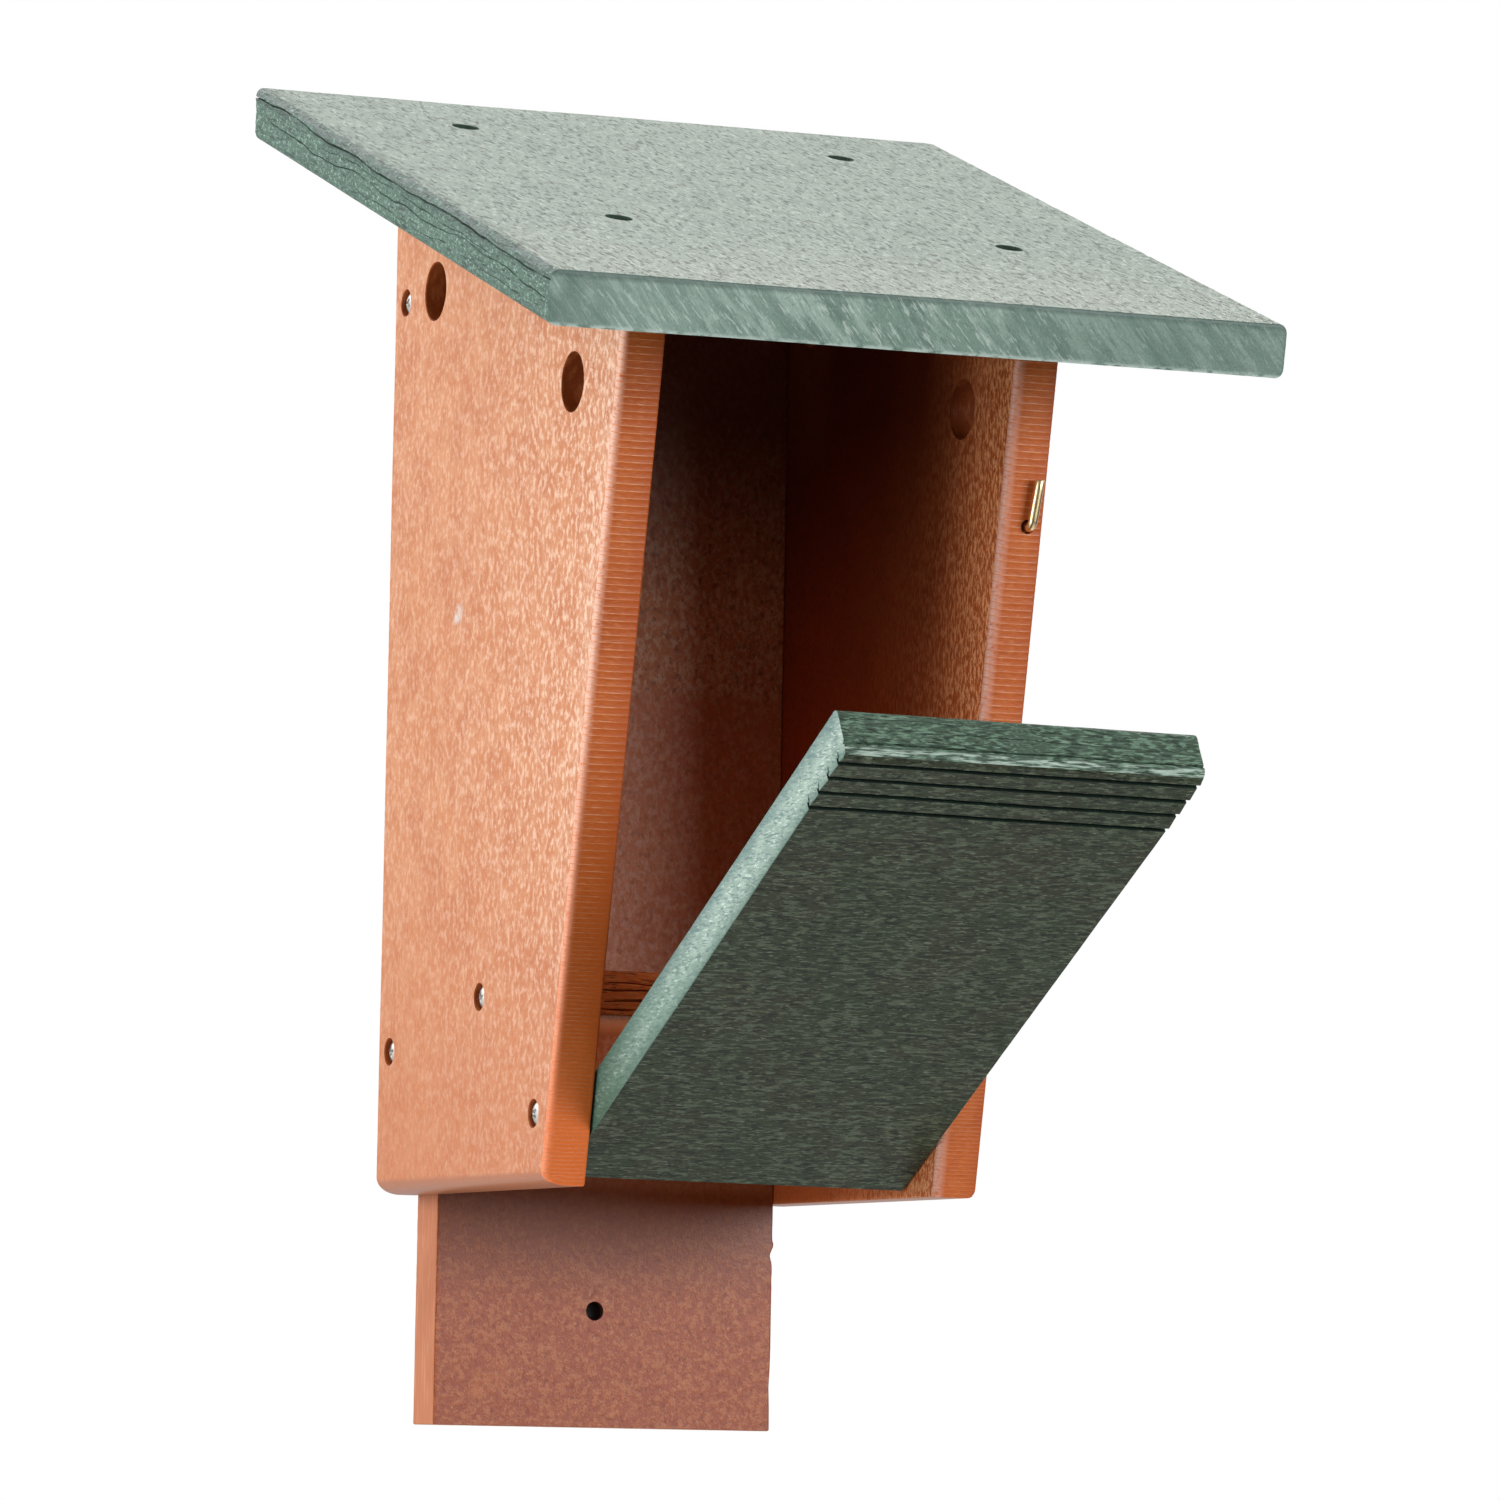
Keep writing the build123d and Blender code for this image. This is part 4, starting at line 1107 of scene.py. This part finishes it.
# ---- screws ----
def screw_mesh():
    """Cross-drive screw: domed head, threaded shank and point; head seat at height 0, head up +Z."""
    segments, pitch, minor = 28, 1.8, 1.45
    rim = SCREW_HEAD_HEIGHT / 2
    dome = (SCREW_HEAD_RADIUS**2 + rim**2) / (2 * rim)
    profile = [(SCREW_HEAD_HEIGHT - dome + math.sqrt(dome**2 - r**2), r) for r in (0.7, 1.4, 2.1, 2.8, 3.3, 3.55)]
    profile += [(rim - 0.1, SCREW_HEAD_RADIUS), (0.12, SCREW_HEAD_RADIUS), (0.0, SCREW_HEAD_RADIUS - 0.12)]
    profile += [(0.0, 2.0), (-0.5, 1.8), (-2.4, 1.7)]
    profile += [(float(z), None) for z in np.arange(-2.8, -SCREW_LENGTH + 0.4, -pitch / 6)]    # the thread
    angles = np.arange(segments) * 2 * math.pi / segments
    points, faces, rings = [(0.0, 0.0, SCREW_HEAD_HEIGHT)], [], []
    for z, r in profile:
        if r is None:
            taper = min(1.0, (z + SCREW_LENGTH) / 6.5)
            fade = min(1.0, (-2.4 - z) / 1.5)
            wave = np.abs(2 * np.mod(z / pitch - angles / (2 * math.pi), 1.0) - 1)
            ridge = np.clip((wave - 0.45) / 0.55, 0, 1)
            radius = (minor + (1.95 - minor) * ridge * fade) * max(taper, 0.06)
        else:
            radius = np.full(segments, r)
        rings.append(range(len(points), len(points) + segments))
        points.extend(zip(np.cos(angles) * radius, np.sin(angles) * radius, np.full(segments, z)))
    tip = len(points)
    points.append((0.0, 0.0, -SCREW_LENGTH))
    for s in range(segments):
        t = (s + 1) % segments
        faces.append((0, rings[0][s], rings[0][t]))
        for upper, lower in zip(rings, rings[1:]):
            faces.append((upper[s], lower[s], lower[t], upper[t]))
        faces.append((rings[-1][s], tip, rings[-1][t]))
    screw = new_object("screw_form", points, faces, [screw_steel])
    # the cross recess, narrowing downwards
    outline = []
    for k in range(4):
        turn = k * math.pi / 2
        for x, y in ((2.0, -0.5), (2.0, 0.5), (0.62, 0.62)):
            outline.append((x * math.cos(turn) - y * math.sin(turn), x * math.sin(turn) + y * math.cos(turn)))
    cross = [(x * f, y * f, z) for z, f in ((3.2, 1.12), (2.1, 1.0), (0.8, 0.6)) for x, y in outline]
    cut(screw, [new_object("cross", cross, tube_faces(3, len(outline)), [screw_steel])])
    mesh = screw.data
    bpy.data.objects.remove(screw)
    return mesh


SCREW_FORM = screw_mesh()


def put_screw(node, origin, normal, body, turn):
    """One screw with its head seated on origin, facing the normal, in place of its CAD node."""
    side, up, n = frame_of(normal)
    c, s = math.cos(turn), math.sin(turn)
    mesh = SCREW_FORM.copy()
    mesh.name = node + "_fastener"
    place = np.column_stack((side * c + up * s, up * c - side * s, n, np.asarray(origin) * MM))
    mesh.transform(Matrix([*place.tolist(), [0, 0, 0, 1]]))
    finish_piece(linked(mesh.name, mesh), body, node)


# ---- hook ----
def hook_piece():
    """Square-bend brass hook: threaded shank in the board, one bend, and a straight arm."""
    arm_up = Vector((0, -math.sin(LEAN), math.cos(LEAN)))
    arm_up = np.array(Matrix.Rotation(-HOOK_TURN, 3, Vector(LEAN_OUT)) @ arm_up)
    stations = []                          # (position, direction, wire radius, threaded)
    for x, r in ((0.0, 0.25), (0.8, 0.7), (2.0, 1.1)):
        stations.append((x - HOOK_SHANK, 0.0, 0.0, r, False))
    for x in np.arange(-HOOK_SHANK + 2.3, -3.2, 0.2):
        stations.append((float(x), 0.0, 0.0, HOOK_WIRE, True))
    straight = HOOK_STANDOFF - HOOK_BEND
    for x in np.linspace(-3.0, straight, 6):
        stations.append((float(x), 0.0, 0.0, HOOK_WIRE, False))
    for angle in np.linspace(0, math.pi / 2, 13)[1:]:
        x, y = straight + HOOK_BEND * math.sin(angle), HOOK_BEND * (1 - math.cos(angle))
        stations.append((x, y, angle, HOOK_WIRE, False))
    for y in (5.0, 8.0, 12.0, HOOK_ARM - 0.35):
        stations.append((HOOK_STANDOFF, y, math.pi / 2, HOOK_WIRE, False))
    for y, r in ((HOOK_ARM - 0.12, 0.93), (HOOK_ARM, 0.76)):
        stations.append((HOOK_STANDOFF, y, math.pi / 2, HOOK_WIRE * r, False))
    segments = 28
    angles = np.arange(segments) * 2 * math.pi / segments
    across = np.cross(LEAN_OUT, arm_up)
    points = []
    for x, y, bend, radius, threaded in stations:
        centre = HOOK_FOOT + LEAN_OUT * x + arm_up * y
        inward = -LEAN_OUT * math.sin(bend) + arm_up * math.cos(bend)
        r = np.full(segments, radius)
        if threaded:
            wave = np.abs(2 * np.mod(x / 1.2 - angles / (2 * math.pi), 1.0) - 1)
            r = 1.02 + 0.38 * np.clip((wave - 0.4) / 0.6, 0, 1)
        points.extend(centre + np.outer(np.cos(angles) * r, inward) + np.outer(np.sin(angles) * r, across))
    hook = new_object("brass_hook", points, tube_faces(len(stations), segments), [hook_brass])
    smooth(hook.data)
    return hook


# ---- the pieces in place ----
finish_piece(side_board(-1, "left_board", 2.18, 300), "box_body", "left_side")
finish_piece(side_board(1, "right_board", 2.12, 400), "box_body", "right_side")
finish_piece(roof_board(), "box_body", "roof")
finish_piece(door_board(), "door_body", "door")
finish_piece(floor_board(), "box_body", "floor_board")
finish_piece(back_plank(), "box_body", "back_board")
finish_piece(hook_piece(), "hook_body", "door_hook")

TURN_STEP = 0.7                        # between one screw's cross recess and the next
turn = 0.35
for side, side_name in ((-1, "left"), (1, "right")):
    for along, place in zip(ROOF_SCREW_SLOPES, ("back", "front")):
        seat = roof_seat(side, along, ROOF_RECESS_DEPTH)
        put_screw(f"roof_screw_{side_name}_{place}", seat, ROOF_UP, "box_body", turn)
        turn += TURN_STEP
    for place, height in BACK_SCREW_HEIGHTS:
        seat = side_face(side, BACK_THICK / 2, height, RECESS_DEPTH)
        put_screw(f"back_screw_{side_name}_{place}", seat, (side, 0, 0), "box_body", turn)
        turn += TURN_STEP
    seat = side_face(side, FLOOR_SCREW_DEPTH, FLOOR_TOP - FLOOR_THICK / 2, RECESS_DEPTH)
    put_screw(f"floor_screw_{side_name}", seat, (side, 0, 0), "box_body", turn)
    seat = side_face(side, PIVOT_DEPTH, PIVOT_Z, RECESS_DEPTH - PIVOT_HEAD_GAP)
    put_screw(f"pivot_screw_{side_name}", seat, (side, 0, 0), "door_body", turn + TURN_STEP)
    turn += 2 * TURN_STEP


# ---- floor, light and camera ----
def stage_floor():
    """Plain pale floor under the house."""
    n = Nodes("pale_floor")
    pale = n.mix(n.range(n.noise(60.0), 0.3, 0.7), (0.86, 0.86, 0.86), (0.82, 0.82, 0.82))
    n.put(n.shader.inputs["Base Color"], pale)
    n.shader.inputs["Roughness"].default_value = 0.7
    size, level = 3000.0, -300.0
    corners = [(x * size, y * size, level) for x, y in ((-1, -1), (1, -1), (1, 1), (-1, 1))]
    floor = new_object("stage_floor", corners, [[0, 1, 2, 3]], [n.material])
    floor.visible_diffuse = False          # the floor shows, but the room lights the object
    floor.visible_glossy = False


def world():
    """Soft white room, brighter to the left, above, behind and far below; a camera ray sees plain white."""
    made = bpy.data.worlds.new("studio")
    bpy.context.scene.world = made
    n = Graph(made)
    direction = n.add("ShaderNodeSeparateXYZ")
    n.put(direction.inputs[0], n.add("ShaderNodeTexCoord").outputs["Generated"])
    x, y, z = direction.outputs
    behind_above = n.math("MULTIPLY", n.range(y, 0.1, 0.7, 0.0, 2.4), n.range(z, 0.15, 0.5))
    light = n.range(x, -0.35, -0.95, 0.0, 0.60)         # the left
    behind, above = n.range(y, -0.1, 0.7, 0.0, 0.75), n.range(z, -0.05, 0.35, 0.0, 0.34)
    far_below, everywhere = n.range(z, -0.4, -0.85, 0.0, 1.1), 0.03
    for part in (behind, above, far_below, behind_above, everywhere):
        light = n.math("ADD", light, part)
    soft, white = n.add("ShaderNodeBackground"), n.add("ShaderNodeBackground")
    n.put(soft.inputs["Strength"], light)
    n.put(white.inputs["Color"], (1.0, 1.0, 1.0))
    pick = n.add("ShaderNodeMixShader")
    shown = (n.add("ShaderNodeLightPath").outputs["Is Camera Ray"], soft.outputs[0], white.outputs[0])
    for socket, value in zip(pick.inputs, shown):
        n.put(socket, value)
    n.put(n.add("ShaderNodeOutputWorld").inputs[0], pick.outputs[0])


def softbox(name, place, target, width, height, power):
    """Rectangular lamp facing its target; lengths are in metres."""
    lamp = bpy.data.lights.new(name, "AREA")
    lamp.shape, lamp.size, lamp.size_y, lamp.energy = "RECTANGLE", width, height, power
    made = linked(name, lamp)
    made.location = place
    made.rotation_euler = (Vector(target) - Vector(place)).to_track_quat("-Z", "Y").to_euler()


stage_floor()
world()
softbox("key", (-1.85, -0.35, 0.25), (0, -0.1, 0.12), 1.1, 1.4, 27.0)
softbox("fill", (1.15, -2.3, 0.42), (0, -0.1, 0.12), 1.5, 0.85, 35.0)

scene = bpy.context.scene
scene.view_settings.view_transform = "Standard"
scene.view_settings.look = "None"
camera_data = bpy.data.cameras.new("camera")
camera_data.sensor_width = 36.0
camera_data.lens = 202.617
camera_data.clip_end = 50.0
camera = linked("camera", camera_data)
RIGHT, DOWN, FORWARD = (0.92143, -0.38808, 0.01905), (0.04906, 0.06757, -0.99651), (0.38543, 0.91915, 0.0813)
PLACE = (-1.02408, -2.57381, -0.07893)
camera.matrix_world = Matrix([[RIGHT[k], -DOWN[k], -FORWARD[k], PLACE[k]] for k in range(3)] + [[0, 0, 0, 1]])
scene.camera = camera
